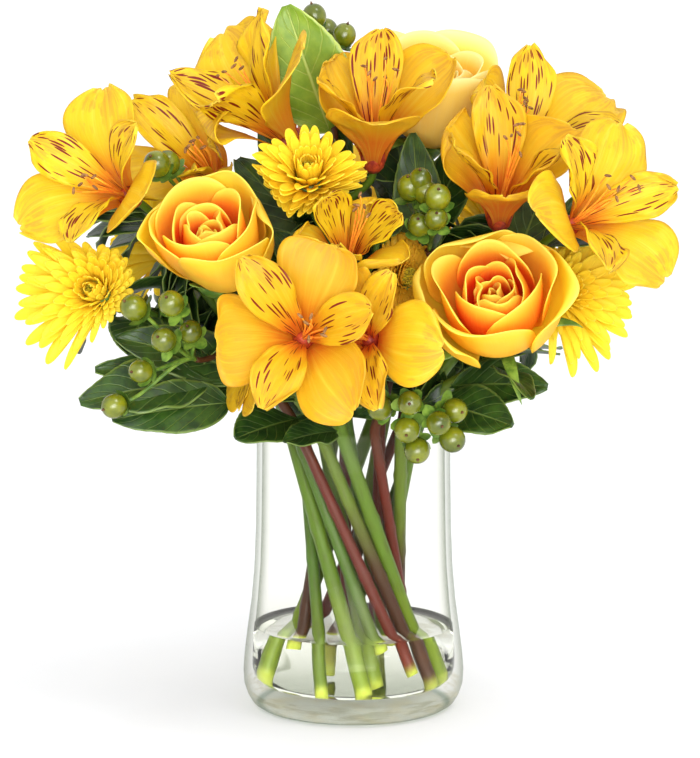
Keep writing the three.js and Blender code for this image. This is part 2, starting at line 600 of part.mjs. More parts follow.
function vase(swell) {
  const outside = VASE_OUTSIDE.map(([r, z]) => [r + swell, z - (z === 0 ? swell : 0)]);
  const rim = [[VASE.rimRadius - VASE.wall / 2, VASE.height + swell]];
  const inside = VASE_INSIDE.map(([r, z]) => [r - swell, z + (z === VASE.floor ? swell : 0)]);
  return lathe([[0, -swell], ...outside, ...rim, ...inside, [0, VASE.floor + swell]]);
}

function water() {
  const wet = VASE_INSIDE.filter(([, z]) => z < WATER.level).reverse().map(([r, z]) => [r - WATER.gap, z + CLEAR]);
  const body = lathe([[0, VASE.floor + CLEAR], ...wet, [WATER.radius, WATER.level], [0, WATER.level]]);
  const holes = STEMS.map((stem) => {
    const [foot, neck] = [stemFoot(stem), stemNeck(stem)];
    const radius = (STEM_KINDS[stem.kind].radius + CLEAR) * Math.SQRT2; // of a square round the stem
    const below = stem.short ? CLEAR : VASE.floor; // the hole of a standing stem runs out through the bottom
    return tube([step(foot, foot.clone().sub(neck).normalize(), below), neck], [radius, radius], 4);
  });
  return body.subtract(join(holes));
}

// ---- assembly ----
const join = (pieces) => wasm.Manifold.union(pieces);
const largest = (made) => made.decompose().sort((a, b) => b.volume() - a.volume())[0];

// A solid without what its swollen neighbours take up.
function clearOf(made, neighbours) {
  const box = made.boundingBox();
  const near = neighbours.filter((n) => {
    const other = n.boundingBox();
    return [0, 1, 2].every((k) => other.min[k] < box.max[k] && other.max[k] > box.min[k]);
  });
  return near.length ? made.subtract(join(near)) : made;
}

const nodes = new Map(); // node name to its solid and colour
const stemRoom = new Map(STEMS.map((stem) => [stem.name, join(bareStem(stem, CLEAR))]));
const bloomRoom = [];
for (const bloom of BLOOMS) {
  const make = MAKERS[bloom.kind];
  const body = largest(clearOf(join(make(bloom, 0)), [...stemRoom.values(), ...bloomRoom]));
  nodes.set(bloom.name, { body, colour: COLOURS[bloom.kind] });
  bloomRoom.push(join(make(bloom, CLEAR)));
}

const berryRoom = new Map(CLUSTERS.map((c) => [c.name, join(berries(c, CLEAR))]));
const vaseRoom = vase(CLEAR);
const leafRoom = [];
for (const stem of STEMS) {
  const otherStems = [...stemRoom].filter(([name]) => name !== stem.name).map(([, room]) => room);
  const clusters = CLUSTERS.filter((c) => c.stem === stem.name);
  const otherBerries = CLUSTERS.filter((c) => c.stem !== stem.name).map((c) => berryRoom.get(c.name));
  const leaves = LEAVES.filter((l) => l.stem === stem.name);
  const sprays = clusters.map((c) => clearOf(join(berries(c, 0)), [...otherStems, ...bloomRoom]));
  const grown = leaves.map((l) => clearOf(leaf(l, 0), [vaseRoom, ...otherStems, ...bloomRoom, ...otherBerries, ...leafRoom]));
  const body = largest(join([...bareStem(stem, 0), ...sprays, ...grown]));
  const name = stem.kind === "hypericum" ? stem.name : "stem_" + stem.name;
  nodes.set(name, { body, colour: COLOURS[name.split("_")[0]] ?? STEM_KINDS[stem.kind].colour });
  leafRoom.push(...leaves.map((l) => leaf(l, CLEAR)));
}
nodes.set("vase", { body: vase(0), colour: 0xdfe8ea });
nodes.set("water", { body: water(), colour: 0xe6eef0 });

const bouquet = new THREE.Group();
for (const [name, { body, colour }] of nodes) {
  const { vertProperties, triVerts, numProp } = largest(body.simplify(SLACK)).getMesh();
  const positions = new Float32Array((vertProperties.length / numProp) * 3);
  for (let i = 0; i * numProp < vertProperties.length; i++)
    positions.set(vertProperties.subarray(i * numProp, i * numProp + 3), i * 3);
  const geometry = new THREE.BufferGeometry();
  geometry.setAttribute("position", new THREE.BufferAttribute(positions, 3));
  geometry.setIndex(new THREE.BufferAttribute(triVerts, 1));
  geometry.computeVertexNormals();
  const glassy = name === "vase" || name === "water";
  const material = new THREE.MeshStandardMaterial({
    color: colour,
    roughness: glassy ? 0.05 : 0.6,
    metalness: 0,
    transparent: glassy,
    opacity: glassy ? 0.3 : 1,
  });
  const mesh = new THREE.Mesh(geometry, material);
  mesh.name = name;
  bouquet.add(mesh);
}

export default bouquet;
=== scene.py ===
"""A glass vase of cut flowers: yellow roses, alstroemerias and chrysanthemums with green hypericum berries.

Points and sizes are millimetres in the row frame, as in the part's source, and become metres in a mesh.
Each bloom, spray and stem keeps the place and form of the plain solid that it stands for, with finer petals.
"""

from collections import namedtuple
from math import cos, pi, radians, sin, sqrt

import bpy
import numpy as np
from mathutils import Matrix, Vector


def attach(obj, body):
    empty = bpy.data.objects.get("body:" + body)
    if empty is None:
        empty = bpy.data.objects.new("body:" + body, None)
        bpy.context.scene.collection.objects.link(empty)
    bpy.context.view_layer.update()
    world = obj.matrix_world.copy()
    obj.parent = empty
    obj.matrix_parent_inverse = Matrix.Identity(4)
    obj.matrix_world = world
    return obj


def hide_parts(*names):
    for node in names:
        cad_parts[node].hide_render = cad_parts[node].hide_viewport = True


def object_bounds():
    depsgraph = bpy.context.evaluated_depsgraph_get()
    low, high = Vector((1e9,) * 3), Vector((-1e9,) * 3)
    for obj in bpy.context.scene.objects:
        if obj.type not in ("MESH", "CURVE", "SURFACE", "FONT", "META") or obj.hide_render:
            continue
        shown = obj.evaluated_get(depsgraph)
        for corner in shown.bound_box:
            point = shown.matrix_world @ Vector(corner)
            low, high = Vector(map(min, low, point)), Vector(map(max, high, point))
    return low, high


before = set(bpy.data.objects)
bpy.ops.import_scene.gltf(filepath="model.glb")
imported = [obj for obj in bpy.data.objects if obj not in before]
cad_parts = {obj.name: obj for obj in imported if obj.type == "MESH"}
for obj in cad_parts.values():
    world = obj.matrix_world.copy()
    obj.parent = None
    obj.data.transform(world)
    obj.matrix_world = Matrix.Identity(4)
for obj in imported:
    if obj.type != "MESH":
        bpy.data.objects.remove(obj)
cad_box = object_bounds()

MM = 0.001
UP = np.array([0.0, 0.0, 1.0])
STRAIGHT = 1e-6  # the least turn along a petal, in radians, as its arc has to have a radius
GOLDEN_ANGLE = 137.5  # degrees from one petal of a spiral to the next

# ---- the vase, as in the part's source ----
CLEAR = 0.35  # gap kept between pieces that touch
FLOOR = 12  # thickness of the vase's bottom
NECK = 146  # height at which the stems pass the vase's mouth
TWIST = 100  # degrees that the bunched stems turn from the neck to the floor
SPREAD = 1.15  # how much wider the stems stand on the floor than in the neck
PRESS = 9  # depth over which a petal bends away from its neighbour
WATER_LEVEL = 42
CAP = 20  # radius of the flat middle of the vase's bottom
RIM = (49, 148.5)  # middle of the rounded rim, as radius and height
RIM_RADIUS = 1.5
VASE_OUTSIDE = [(46, 0), (50, 0.4), (53.4, 2.6), (55.8, 6.5), (57.6, 12), (58, 19), (57.3, 28), (55.8, 40)]
VASE_OUTSIDE += [(53.6, 56), (52, 74), (51.1, 96), (50.7, 122), (50.5, 148.3)]
VASE_INSIDE = [(47.5, 148.3), (47.8, 122), (48.2, 96), (48.9, 74), (50.3, 56), (52, 40), (53, 28), (53, 21)]
VASE_INSIDE += [(52, 16.6), (49, 13.6), (43, 12.2), (CAP, FLOOR)]

# ---- the arrangement, as in the part's source ----
# A row starts with the rest of the bloom's name and of its stem's. at is the middle of a rose or
# chrysanthemum and the throat of an alstroemeria. faces is the way it opens, turn is about that axis, in
# degrees, open is how far the petals lean out, and look picks its colouring; one look is a darker copy of the
# golden one, painted shade for blooms that sit in shadow.
Bloom = namedtuple("Bloom", "name stem at faces turn size open look", defaults=(1, 1, "golden"))
BLOOM_ROWS = {
    "rose": [
        ("left", "left", (-70, -80, 247), (-0.1, -0.64, 0.76), 20, 1.38),
        ("right", "right", (69, -80, 219), (-0.12, -0.78, 0.61), 75, 1.54),
        ("top", "top", (42, 12, 317), (0.1, -0.4, 0.9), 140, 1.4, 1, "pale"),
        ("back", "back", (-6, 90, 262), (0, 0.7, 0.7), 10, 1.15),
    ],
    "alstroemeria": [
        ("front", "front", (-24, -112, 205), (-0.08, -0.95, 0.26), 70, 1.22, 90, "ochre"),
        ("centre", "front", (7, -100, 203), (-0.3, -0.93, 0.15), -4, 1.12, 86, "amber"),
        ("middle", "front", (-3, -74, 238), (0.05, -0.75, 0.66), 70, 1.14, 74),
        ("low", "front", (-46, -74, 191), (-0.85, -0.5, -0.15), 90, 0.8, 45, "amber"),
        ("left", "left", (-112, -66, 271), (-0.5, -0.78, 0.36), 98, 1.16, 86),
        ("left_rear", "left", (-70, -16, 275), (-0.3, -0.7, 0.64), 94, 1.3, 84),
        ("top_left", "top", (-36, -26, 298), (-0.62, -0.42, 0.66), 20, 1.42, 66),
        ("top", "top", (10, -32, 292), (0, -0.5, 0.87), 26, 1.36, 70, "amber"),
        ("right_top", "right", (73, -42, 263), (0, -0.6, 0.8), 32, 1.42, 74, "amber"),
        ("right_high", "right", (84, -12, 283), (0.25, -0.55, 0.8), 20, 1.34, 80),
        ("right", "right", (107, -70, 257), (0.5, -0.78, 0.38), 66, 1.18, 84),
        ("back_left", "back", (-58, 98, 216), (-0.4, 0.85, 0.35), 90, 1.15, 82),
        ("back", "back", (22, 112, 208), (0.15, 0.95, 0.25), 30, 1.15, 85),
        ("back_top", "back", (-34, 48, 300), (-0.2, 0.5, 0.85), 60, 1.25, 74),
    ],
    "chrysanthemum": [
        ("left", "left", (-127, -72, 224), (-0.2, -0.94, 0.22), 0, 1.28),
        ("middle", "middle", (-22, -76, 282), (0, -0.8, 0.6), 9, 1.42, 0.94),
        ("bud", "middle", (11, -79, 257), (0, -0.5, 0.86), 0, 0.64, 0.42, "ochre"),
        ("low", "middle", (27, -58, 230), (0.5, -0.8, 0.2), 5, 1.14, 1, "ochre"),
        ("right", "right", (105, -44, 222), (0.4, -0.88, 0.25), 4, 1.3),
        ("back_left", "back", (-104, 52, 240), (-0.7, 0.55, 0.45), 0, 1.3),
        ("back_right", "back", (84, 66, 248), (0.6, 0.6, 0.52), 7, 1.3),
    ],
}
BLOOMS = [
    Bloom(f"{kind}_{name}", f"{kind}_{stem}", *rest)
    for kind, rows in BLOOM_ROWS.items()
    for name, stem, *rest in rows
]

# Each cluster of berries stands on a fork of its stem. Berries are listed by their centres.
Cluster = namedtuple("Cluster", "name stem fork berries")
CLUSTERS = [
    Cluster(
        "left_low", "hypericum_left", (-78, -68, 190),
        [(-87, -106, 221), (-106, -94, 218), (-91, -101, 203), (-103, -93, 187), (-116, -92, 170)]
        + [(-79, -90, 206)],
    ),
    Cluster("left_high", "hypericum_left", (-74, -34, 256), [(-96, -64, 280), (-84, -58, 287)]),
    Cluster(
        "right_low", "hypericum_right", (31, -64, 166),
        [(13, -84, 168), (27, -97, 172), (50, -84, 168), (26, -91, 158), (41, -95, 162), (48, -88, 153)]
        + [(31, -84, 147)],
    ),
    Cluster(
        "centre", "hypericum_centre", (38, -44, 242),
        [(31, -78, 254), (42, -84, 271), (45, -84, 253), (25, -60, 279), (39, -62, 282), (52, -58, 277)],
    ),
    Cluster("top", "hypericum_top", (-12, 0, 334), [(-20, -5, 359), (-4, -9, 348), (-14, 12, 352)]),
    Cluster(
        "back_left", "hypericum_back", (-92, 66, 188),
        [(-112, 82, 196), (-104, 90, 208), (-118, 72, 208)],
    ),
    Cluster("back_right", "hypericum_back", (62, 88, 200), [(72, 108, 212), (84, 98, 208), (62, 112, 222)]),
]
BERRY_RADIUS = 6.3
BERRY_ROOM = 20  # space that a cluster holds past the centres of its berries
BERRY_GIVE = 8  # how much of that space the soft florets of a chrysanthemum may take

# Stems pass the neck at a distance and an angle from the vase's axis. short is the share of the way from
# floor to neck by which a stem stops above the floor, and fork is where it divides.
Stem = namedtuple("Stem", "name radius angle short fork", defaults=(0, None))
STEMS = [
    Stem("alstroemeria_front", 34, 261, 0, (-12, -50, 178)),
    Stem("hypericum_right", 32, 290, 0.12),
    Stem("rose_right", 35, 314, 0.07),
    Stem("alstroemeria_right", 33, 338, 0, (78, -30, 222)),
    Stem("chrysanthemum_right", 34, 3, 0.16),
    Stem("hypericum_back", 32, 38, 0.05, (16, 66, 176)),
    Stem("alstroemeria_back", 34, 72, 0, (-6, 58, 194)),
    Stem("rose_back", 30, 108, 0.1),
    Stem("chrysanthemum_back", 33, 146, 0, (-26, 26, 196)),
    Stem("alstroemeria_left", 33, 178, 0, (-84, -38, 236)),
    Stem("chrysanthemum_left", 32, 203, 0.13),
    Stem("hypericum_left", 36, 221, 0.06),
    Stem("rose_left", 34, 241),
    Stem("chrysanthemum_middle", 17, 262, 0.08, (2, -42, 216)),
    Stem("hypericum_centre", 18, 320, 0.17),
    Stem("rose_top", 17, 25),
    Stem("hypericum_top", 6, 140, 0.14),
    Stem("alstroemeria_top", 17, 200, 0, (-10, -18, 256)),
]
THICKNESS = {"rose": 3.6, "alstroemeria": 4.2, "chrysanthemum": 3.3, "hypericum": 3.1}  # radius of a stem

# Leaves, under the stem that they grow from: share is how far up that stem above the neck, side is the way
# the upper face looks, and stalk is the bare share of the leaf. Many lie deep in the bouquet, where they
# close the gaps between the blooms.
Leaf = namedtuple("Leaf", "share tip side width stalk look", defaults=(0.1, "dark"))
LEAVES = {
    "rose_left": [
        Leaf(0.34, (-134, -80, 170), (-0.1, -0.8, 0.6), 32, 0.4),
        Leaf(0.22, (-118, -84, 162), (-0.1, -0.9, 0.4), 28, 0.4),
        Leaf(0.12, (-58, -80, 152), (-0.4, -0.85, 0.2), 28, 0.2),
    ],
    "alstroemeria_front": [
        Leaf(0.1, (-34, -78, 150), (-0.3, -0.85, 0.3), 18),
        Leaf(0.5, (-10, -88, 164), (0.1, -0.7, 0.7), 26),
    ],
    "rose_right": [
        Leaf(0.3, (78, -78, 158), (0.2, -0.9, 0.3), 28, 0.2),
        Leaf(0.7, (86, -98, 174), (0.3, -0.4, 0.9), 16, 0.3),
        Leaf(0.45, (96, -66, 176), (0.2, -0.9, 0.4), 26),
    ],
    "alstroemeria_right": [
        Leaf(0.85, (150, 2, 230), (0.2, -0.25, 0.9), 24, 0.3),
        Leaf(0.95, (96, -16, 270), (0.1, -0.9, 0.4), 32),
    ],
    "hypericum_top": [
        Leaf(0.8, (-34, -20, 364), (-0.1, -0.97, 0.2), 42, 0.1, "light"),
        Leaf(0.5, (-48, 12, 300), (0, -0.95, 0.3), 32),
    ],
    "rose_top": [
        Leaf(0.6, (62, -16, 300), (0, -0.9, 0.4), 26, 0.2),
        Leaf(0.18, (108, 6, 184), (0.6, 0, 0.8), 28, 0.3),
        Leaf(0.72, (20, 18, 304), (0, -0.95, 0.3), 34),
        Leaf(0.5, (36, 10, 286), (0.1, -0.9, 0.4), 34),
    ],
    "rose_back": [Leaf(0.3, (-24, 100, 178), (-0.1, 0.7, 0.7), 34, 0.2)],
    "chrysanthemum_back": [Leaf(0.3, (-108, 62, 176), (-0.4, 0.5, 0.75), 30, 0.2)],
    "chrysanthemum_right": [Leaf(0.3, (112, 52, 182), (0.5, 0.4, 0.75), 30, 0.2)],
    "chrysanthemum_left": [
        Leaf(0.35, (-116, 0, 186), (-0.7, 0, 0.7), 30, 0.2),
        Leaf(0.75, (-112, -50, 190), (-0.1, -0.9, 0.4), 28),
    ],
    "alstroemeria_top": [
        Leaf(0.8, (-60, 4, 286), (0, -0.9, 0.4), 34),
        Leaf(0.55, (-70, 10, 268), (-0.1, -0.9, 0.4), 34),
    ],
    "hypericum_centre": [Leaf(0.8, (30, -20, 300), (0, -0.9, 0.4), 26)],
    "chrysanthemum_middle": [Leaf(0.8, (-40, -34, 250), (0, -0.9, 0.4), 28)],
    "hypericum_left": [
        Leaf(0.7, (-118, -62, 200), (-0.1, -0.9, 0.4), 28),
        Leaf(0.55, (-128, -64, 184), (-0.2, -0.8, 0.5), 26),
    ],
}


# ---- vectors and paths ----
def unit(v):
    v = np.asarray(v, float)
    return v / np.linalg.norm(v)


def lerp(a, b, t):
    return a + (b - a) * t


def placing(at, faces, turn):
    """A function from a bloom's own coordinates, w along the way it opens, to the vase's."""
    w = unit(faces)
    across = unit(np.cross(UP, w))
    upward = np.cross(w, across)
    u = across * cos(radians(turn)) + upward * sin(radians(turn))
    axes = np.array([u, np.cross(w, u), w])
    return lambda x, y, z: np.array(at, float) + np.stack(np.broadcast_arrays(x, y, z), -1) @ axes


def lean_path(stops, length, s):
    """Radius, height and lean at share s of a petal whose lean from the axis goes evenly from stop to stop.
    A stop is a share and degrees."""
    r = h = np.zeros(np.broadcast(s, *[a for _, a in stops]).shape)
    lean = np.radians(stops[0][1]) + r
    for (s0, a0), (s1, a1) in zip(stops, stops[1:]):
        part = np.clip((s - s0) / (s1 - s0), 0, 1)
        turn = np.radians(np.asarray(a1) - a0) * part
        turn = np.where(np.abs(turn) < STRAIGHT, STRAIGHT, turn)
        run = length * (s1 - s0) * part
        start = np.radians(a0)
        r = r + run * (np.cos(start) - np.cos(start + turn)) / turn
        h = h + run * (np.sin(start + turn) - np.sin(start)) / turn
        lean = np.where(part > 0, start + turn, lean)
    return r, h, lean


def bezier(points, t):
    """Points at each t of the smooth curve that two ends and one or two handles give."""
    t = np.asarray(t, float)[:, None]
    points = [np.asarray(p, float) for p in points]
    while len(points) > 1:
        points = [lerp(a, b, t) for a, b in zip(points, points[1:])]
    return points[0]


def ripple(draw, waves, size):
    """A smooth random function of two numbers: a sum of sines with drawn phases."""
    terms = [(draw.uniform(0.6, 1.4, 2) * waves, draw.uniform(0, 2 * pi)) for _ in range(3)]
    return lambda a, b: size / 2 * sum(np.sin(k[0] * a + k[1] * b + p) for k, p in terms)


def shares(rows, columns):
    """Where the points of a petal lie: shares of its length from 0 to 1, and across it from -1 to 1."""
    return np.linspace(0, 1, rows)[:, None], np.linspace(-1, 1, columns)[None, :]


def radial(angle, out, side):
    """x and y of points that lie out along an angle and to its side."""
    x = out * cos(angle) - side * sin(angle)
    return x, out * sin(angle) + side * cos(angle)


# ---- keeping the blooms apart, as in the part's source ----
REACH = {"rose": 36, "alstroemeria": 37, "chrysanthemum": 30}
FORWARD = {"rose": 0, "alstroemeria": 14, "chrysanthemum": -6}


def kind(thing):
    return thing.name.split("_")[0]


homes = {}  # the space each bloom or cluster holds, as a centre and a radius
for bloom in BLOOMS:
    middle = placing(bloom.at, bloom.faces, 0)(0, 0, FORWARD[kind(bloom)] * bloom.size)
    homes[bloom.name] = (middle, REACH[kind(bloom)] * bloom.size)
for cluster in CLUSTERS:
    middle = np.mean(cluster.berries, 0)
    furthest = max(np.linalg.norm(np.array(b) - middle) for b in cluster.berries)
    homes["berries_" + cluster.name] = (middle, furthest + BERRY_ROOM)


def walls(points, name, margin):
    """Each wall that a bloom shares with a neighbour: the way to it, and how far points lie past where petals
    start to bend."""
    own, radius = homes[name]
    found = []
    for other, (centre, other_radius) in homes.items():
        if other.startswith("berries") and name.startswith("chrysanthemum"):
            other_radius -= BERRY_GIVE
        apart = np.linalg.norm(centre - own)
        if other == name or apart > radius + other_radius + PRESS:
            continue
        towards = (centre - own) / apart
        wall = (apart**2 + radius**2 - other_radius**2) / (2 * apart) - CLEAR - margin
        found.append((towards, (points - own) @ towards - (wall - PRESS)))
    return found


def crowding(points, name, margin):
    """How far the worst of some points lies past a wall."""
    return max([0.0] + [float(np.max(past)) - PRESS for _, past in walls(points, name, margin)])


def settle(points, name, margin=0.5):
    """Moves a bloom's points back from the walls that it shares, so that petals press together and don't
    cross."""
    moved = points.copy()
    for towards, past in walls(points, name, margin):
        past = np.maximum(past, 0)
        moved += (PRESS * (1 - np.exp(-past / PRESS)) - past)[..., None] * towards
    return moved


# ---- meshes ----
def put(name, data, place=(0, 0, 0)):
    """A new object in the scene, at a place in metres."""
    made = bpy.data.objects.new(name, data)
    made.location = place
    bpy.context.scene.collection.objects.link(made)
    return made


class Sheets:
    """Grids of points gathered into one mesh. Each has its material and a tint, from 0 to 1, and its UV map
    runs across and along it."""

    def __init__(self):
        self.points, self.faces, self.uv, self.tint, self.materials = [], [], [], [], []
        self.count = 0

    def grid(self, points, tint=0.5, material=0, closed=False, capped=False):
        rows, cols = points.shape[:2]
        start = self.count
        self.points.append(points.reshape(-1, 3))
        across, along = np.meshgrid(np.linspace(0, 1, cols), np.linspace(0, 1, rows))
        self.uv.append(np.stack([across, along], -1).reshape(-1, 2))
        self.tint.append(np.broadcast_to(tint, (rows, cols)).reshape(-1))
        self.count += rows * cols
        for i in range(rows - 1):
            for j in range(cols if closed else cols - 1):
                a, b = start + i * cols + j, start + i * cols + (j + 1) % cols
                self.faces.append((a, b, b + cols, a + cols))
                self.materials.append(material)
        if capped:
            self.faces.append(tuple(range(start + cols - 1, start - 1, -1)))
            self.faces.append(tuple(range(self.count - cols, self.count)))
            self.materials += [material, material]

    def tube(self, path, radii, sides, tint=0.5, material=0):
        """A round, closed stem along a path, with a radius and perhaps a tint for each of its points."""
        path = np.asarray(path, float)
        along = np.gradient(path, axis=0)
        along /= np.linalg.norm(along, axis=1)[:, None]
        side = np.array([1.0, 0, 0]) if abs(along[0][0]) < 0.8 else np.array([0, 1.0, 0])
        turns = np.linspace(0, 2 * pi, sides, endpoint=False)
        rings = []
        for p, forward, radius in zip(path, along, np.broadcast_to(radii, len(path))):
            side = unit(side - forward * (side @ forward))
            other = np.cross(forward, side)
            rings.append(p + radius * (np.outer(np.cos(turns), side) + np.outer(np.sin(turns), other)))
        tint = np.asarray(tint, float).reshape(-1, 1)
        self.grid(np.array(rings), tint, material, closed=True, capped=True)

    def spindle(self, place, profile, size, sides, material=0):
        """A round part on a bloom's own axis, from a profile of heights and radii."""
        path = [place(0, 0, z * size) for z, _ in profile]
        self.tube(path, [r * size for _, r in profile], sides, material=material)

    def piece(self, name, looks, slot, nodes, thickness=0.0):
        """The finished object, in metres, riding on the part's one body."""
        mesh = bpy.data.meshes.new(name)
        mesh.from_pydata((np.concatenate(self.points) * MM).tolist(), [], self.faces)
        corners = np.zeros(len(mesh.loops), int)
        mesh.loops.foreach_get("vertex_index", corners)
        mesh.uv_layers.new(name="UVMap").data.foreach_set("uv", np.concatenate(self.uv)[corners].ravel())
        tint = mesh.attributes.new("tint", "FLOAT", "POINT")
        tint.data.foreach_set("value", np.concatenate(self.tint))
        for look in looks:
            mesh.materials.append(LOOKS[look])
        mesh.polygons.foreach_set("material_index", self.materials)
        mesh.polygons.foreach_set("use_smooth", [True] * len(mesh.polygons))
        mesh.update()
        piece = put(name, mesh)
        if thickness:
            solid = piece.modifiers.new("thickness", "SOLIDIFY")
            solid.thickness = thickness * MM
            solid.offset = 0
        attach(piece, "root")
        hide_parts(*nodes)


# ---- materials ----
def paint(red, green, blue):
    """A colour as a screen shows it, 0 to 255, in the linear values that shaders use."""
    return tuple(((c / 255 + 0.055) / 1.055) ** 2.4 for c in (red, green, blue)) + (1.0,)


# brown mottling on a tepal, partly its own marks and partly painted shade
TEPAL_MOTTLE_AND_SHADE = paint(206, 150, 50)
STEM_GRAIN = paint(60, 45, 20)
STEM_CUT = paint(176, 186, 72)  # the pale end of a cut stem
FOOT_EDGE = paint(150, 172, 160)  # the vase's foot, where it stands on the floor


class Look:
    """One material, built node by node. A value given to a node may be a number, a colour or another node's
    output."""

    def __init__(self, name):
        self.material = bpy.data.materials.new(name)
        self.material.use_nodes = True
        self.tree = self.material.node_tree
        self.tree.nodes.clear()

    def node(self, kind, values=None, **settings):
        made = self.tree.nodes.new("ShaderNode" + kind)
        for name, value in settings.items():
            setattr(made, name, value)
        for name, value in (values or {}).items():
            if isinstance(value, bpy.types.NodeSocket):
                self.tree.links.new(value, made.inputs[name])
            else:
                made.inputs[name].default_value = value
        return made

    def maths(self, operation, *values):
        return self.node("Math", dict(enumerate(values)), operation=operation).outputs[0]

    def times(self, a, b):
        return self.maths("MULTIPLY", a, b)

    def minus(self, a, b):
        return self.maths("SUBTRACT", a, b)

    def clamped(self, value, low, high):
        """value taken from low to high onto 0 to 1, and kept there."""
        made = self.node("MapRange", {0: value, 1: low, 2: high}, interpolation_type="SMOOTHSTEP")
        return made.outputs[0]

    def mix(self, share, a, b):
        return self.node("Mix", {0: share, 6: a, 7: b}, data_type="RGBA").outputs[2]

    def ramp(self, share, *stops):
        made = self.node("ValToRGB", {0: share})
        elements = made.color_ramp.elements
        while len(elements) < len(stops):
            elements.new(0.5)
        for element, (place, colour) in zip(elements, stops):
            element.position = place
            element.color = colour
        return made.outputs[0]

    def tint(self):
        return self.node("Attribute", attribute_name="tint").outputs["Fac"]

    def uv(self):
        """How far across, 0 to 1, and along."""
        split = self.node("SeparateXYZ", {0: self.node("UVMap", uv_map="UVMap").outputs[0]})
        return split.outputs[0], split.outputs[1]

    def aside(self, across):
        """How far from the line along the middle, 0 to 0.5."""
        return self.maths("ABSOLUTE", self.minus(across, 0.5))

    def place(self):
        return self.node("TexCoord").outputs["Object"]

    def height(self):
        """Height over the floor, in metres."""
        return self.node("SeparateXYZ", {0: self.place()}).outputs[2]

    def point(self, x, y, z=0.0):
        return self.node("CombineXYZ", {0: x, 1: y, 2: z}).outputs[0]

    def noise(self, vector, scale, detail=2.0):
        values = {"Vector": vector, "Scale": scale, "Detail": detail, "Roughness": 0.6}
        return self.node("TexNoise", values).outputs[0]

    def bump(self, height, depth, strength=1.0):
        """A normal raised by height, with depth in millimetres."""
        values = {"Height": height, "Distance": depth * MM, "Strength": strength}
        return self.node("Bump", values).outputs[0]

    def coat(self, colour, roughness, normal, gloss):
        """An opaque surface."""
        values = {"Base Color": colour, "Roughness": roughness, "Normal": normal, "Specular IOR Level": gloss}
        return self.node("BsdfPrincipled", values)

    def finish(self, surface, through=None, share=0.0):
        """Ends the material in its surface, mixed with a share of another, such as light from behind."""
        if through:
            surface = self.node("MixShader", {0: share, 1: surface.outputs[0], 2: through.outputs[0]})
        output = self.node("OutputMaterial")
        self.tree.links.new(surface.outputs[0], output.inputs["Surface"])
        return self.material


def petal_skin(look, colour, ribs, depth, roughness, share):
    """A petal's surface: fine ribs that run along it, a soft sheen, and a share of light from behind."""
    normal = look.bump(ribs, depth)
    through = look.node("BsdfTranslucent", {"Color": colour, "Normal": normal})
    return look.finish(look.coat(colour, roughness, normal, 0.35), through, share)


def rose_look(name, rim, body, heart_glow, root):
    """tint 0 is an outer petal and 1 the heart. Rims carry a painted highlight, the petals' roots a painted
    shade, and the folds round the heart a painted orange glow.
    """
    look = Look(name)
    across, along = look.uv()
    inward = look.tint()
    ribs = look.noise(look.point(look.times(across, 26.0), along, inward), 3.0, 3.0)
    cloud = look.noise(look.place(), 45.0)
    # painted glow: the lower parts of the inner petals take the heart's orange, as light that bounces in the
    # folds
    painted_fold_glow = look.times(look.clamped(inward, 0.15, 0.7), look.clamped(along, 1.0, 0.55))
    blush = look.times(look.clamped(cloud, 0.3, 0.8), look.clamped(along, 0.95, 0.45))
    # the pale rim colour at the top of each petal is a painted highlight, and the darker root colour at its
    # base a painted shade
    colour = look.ramp(along, (0.0, root), (0.35, body), (0.8, body), (0.97, rim), (1.0, rim))
    colour = look.mix(look.times(blush, 0.4), colour, look.mix(0.5, body, heart_glow))
    colour = look.mix(painted_fold_glow, colour, heart_glow)
    colour = look.mix(look.times(look.clamped(ribs, 0.45, 0.8), 0.18), colour, rim)
    return petal_skin(look, colour, ribs, depth=0.08, roughness=0.46, share=0.6)


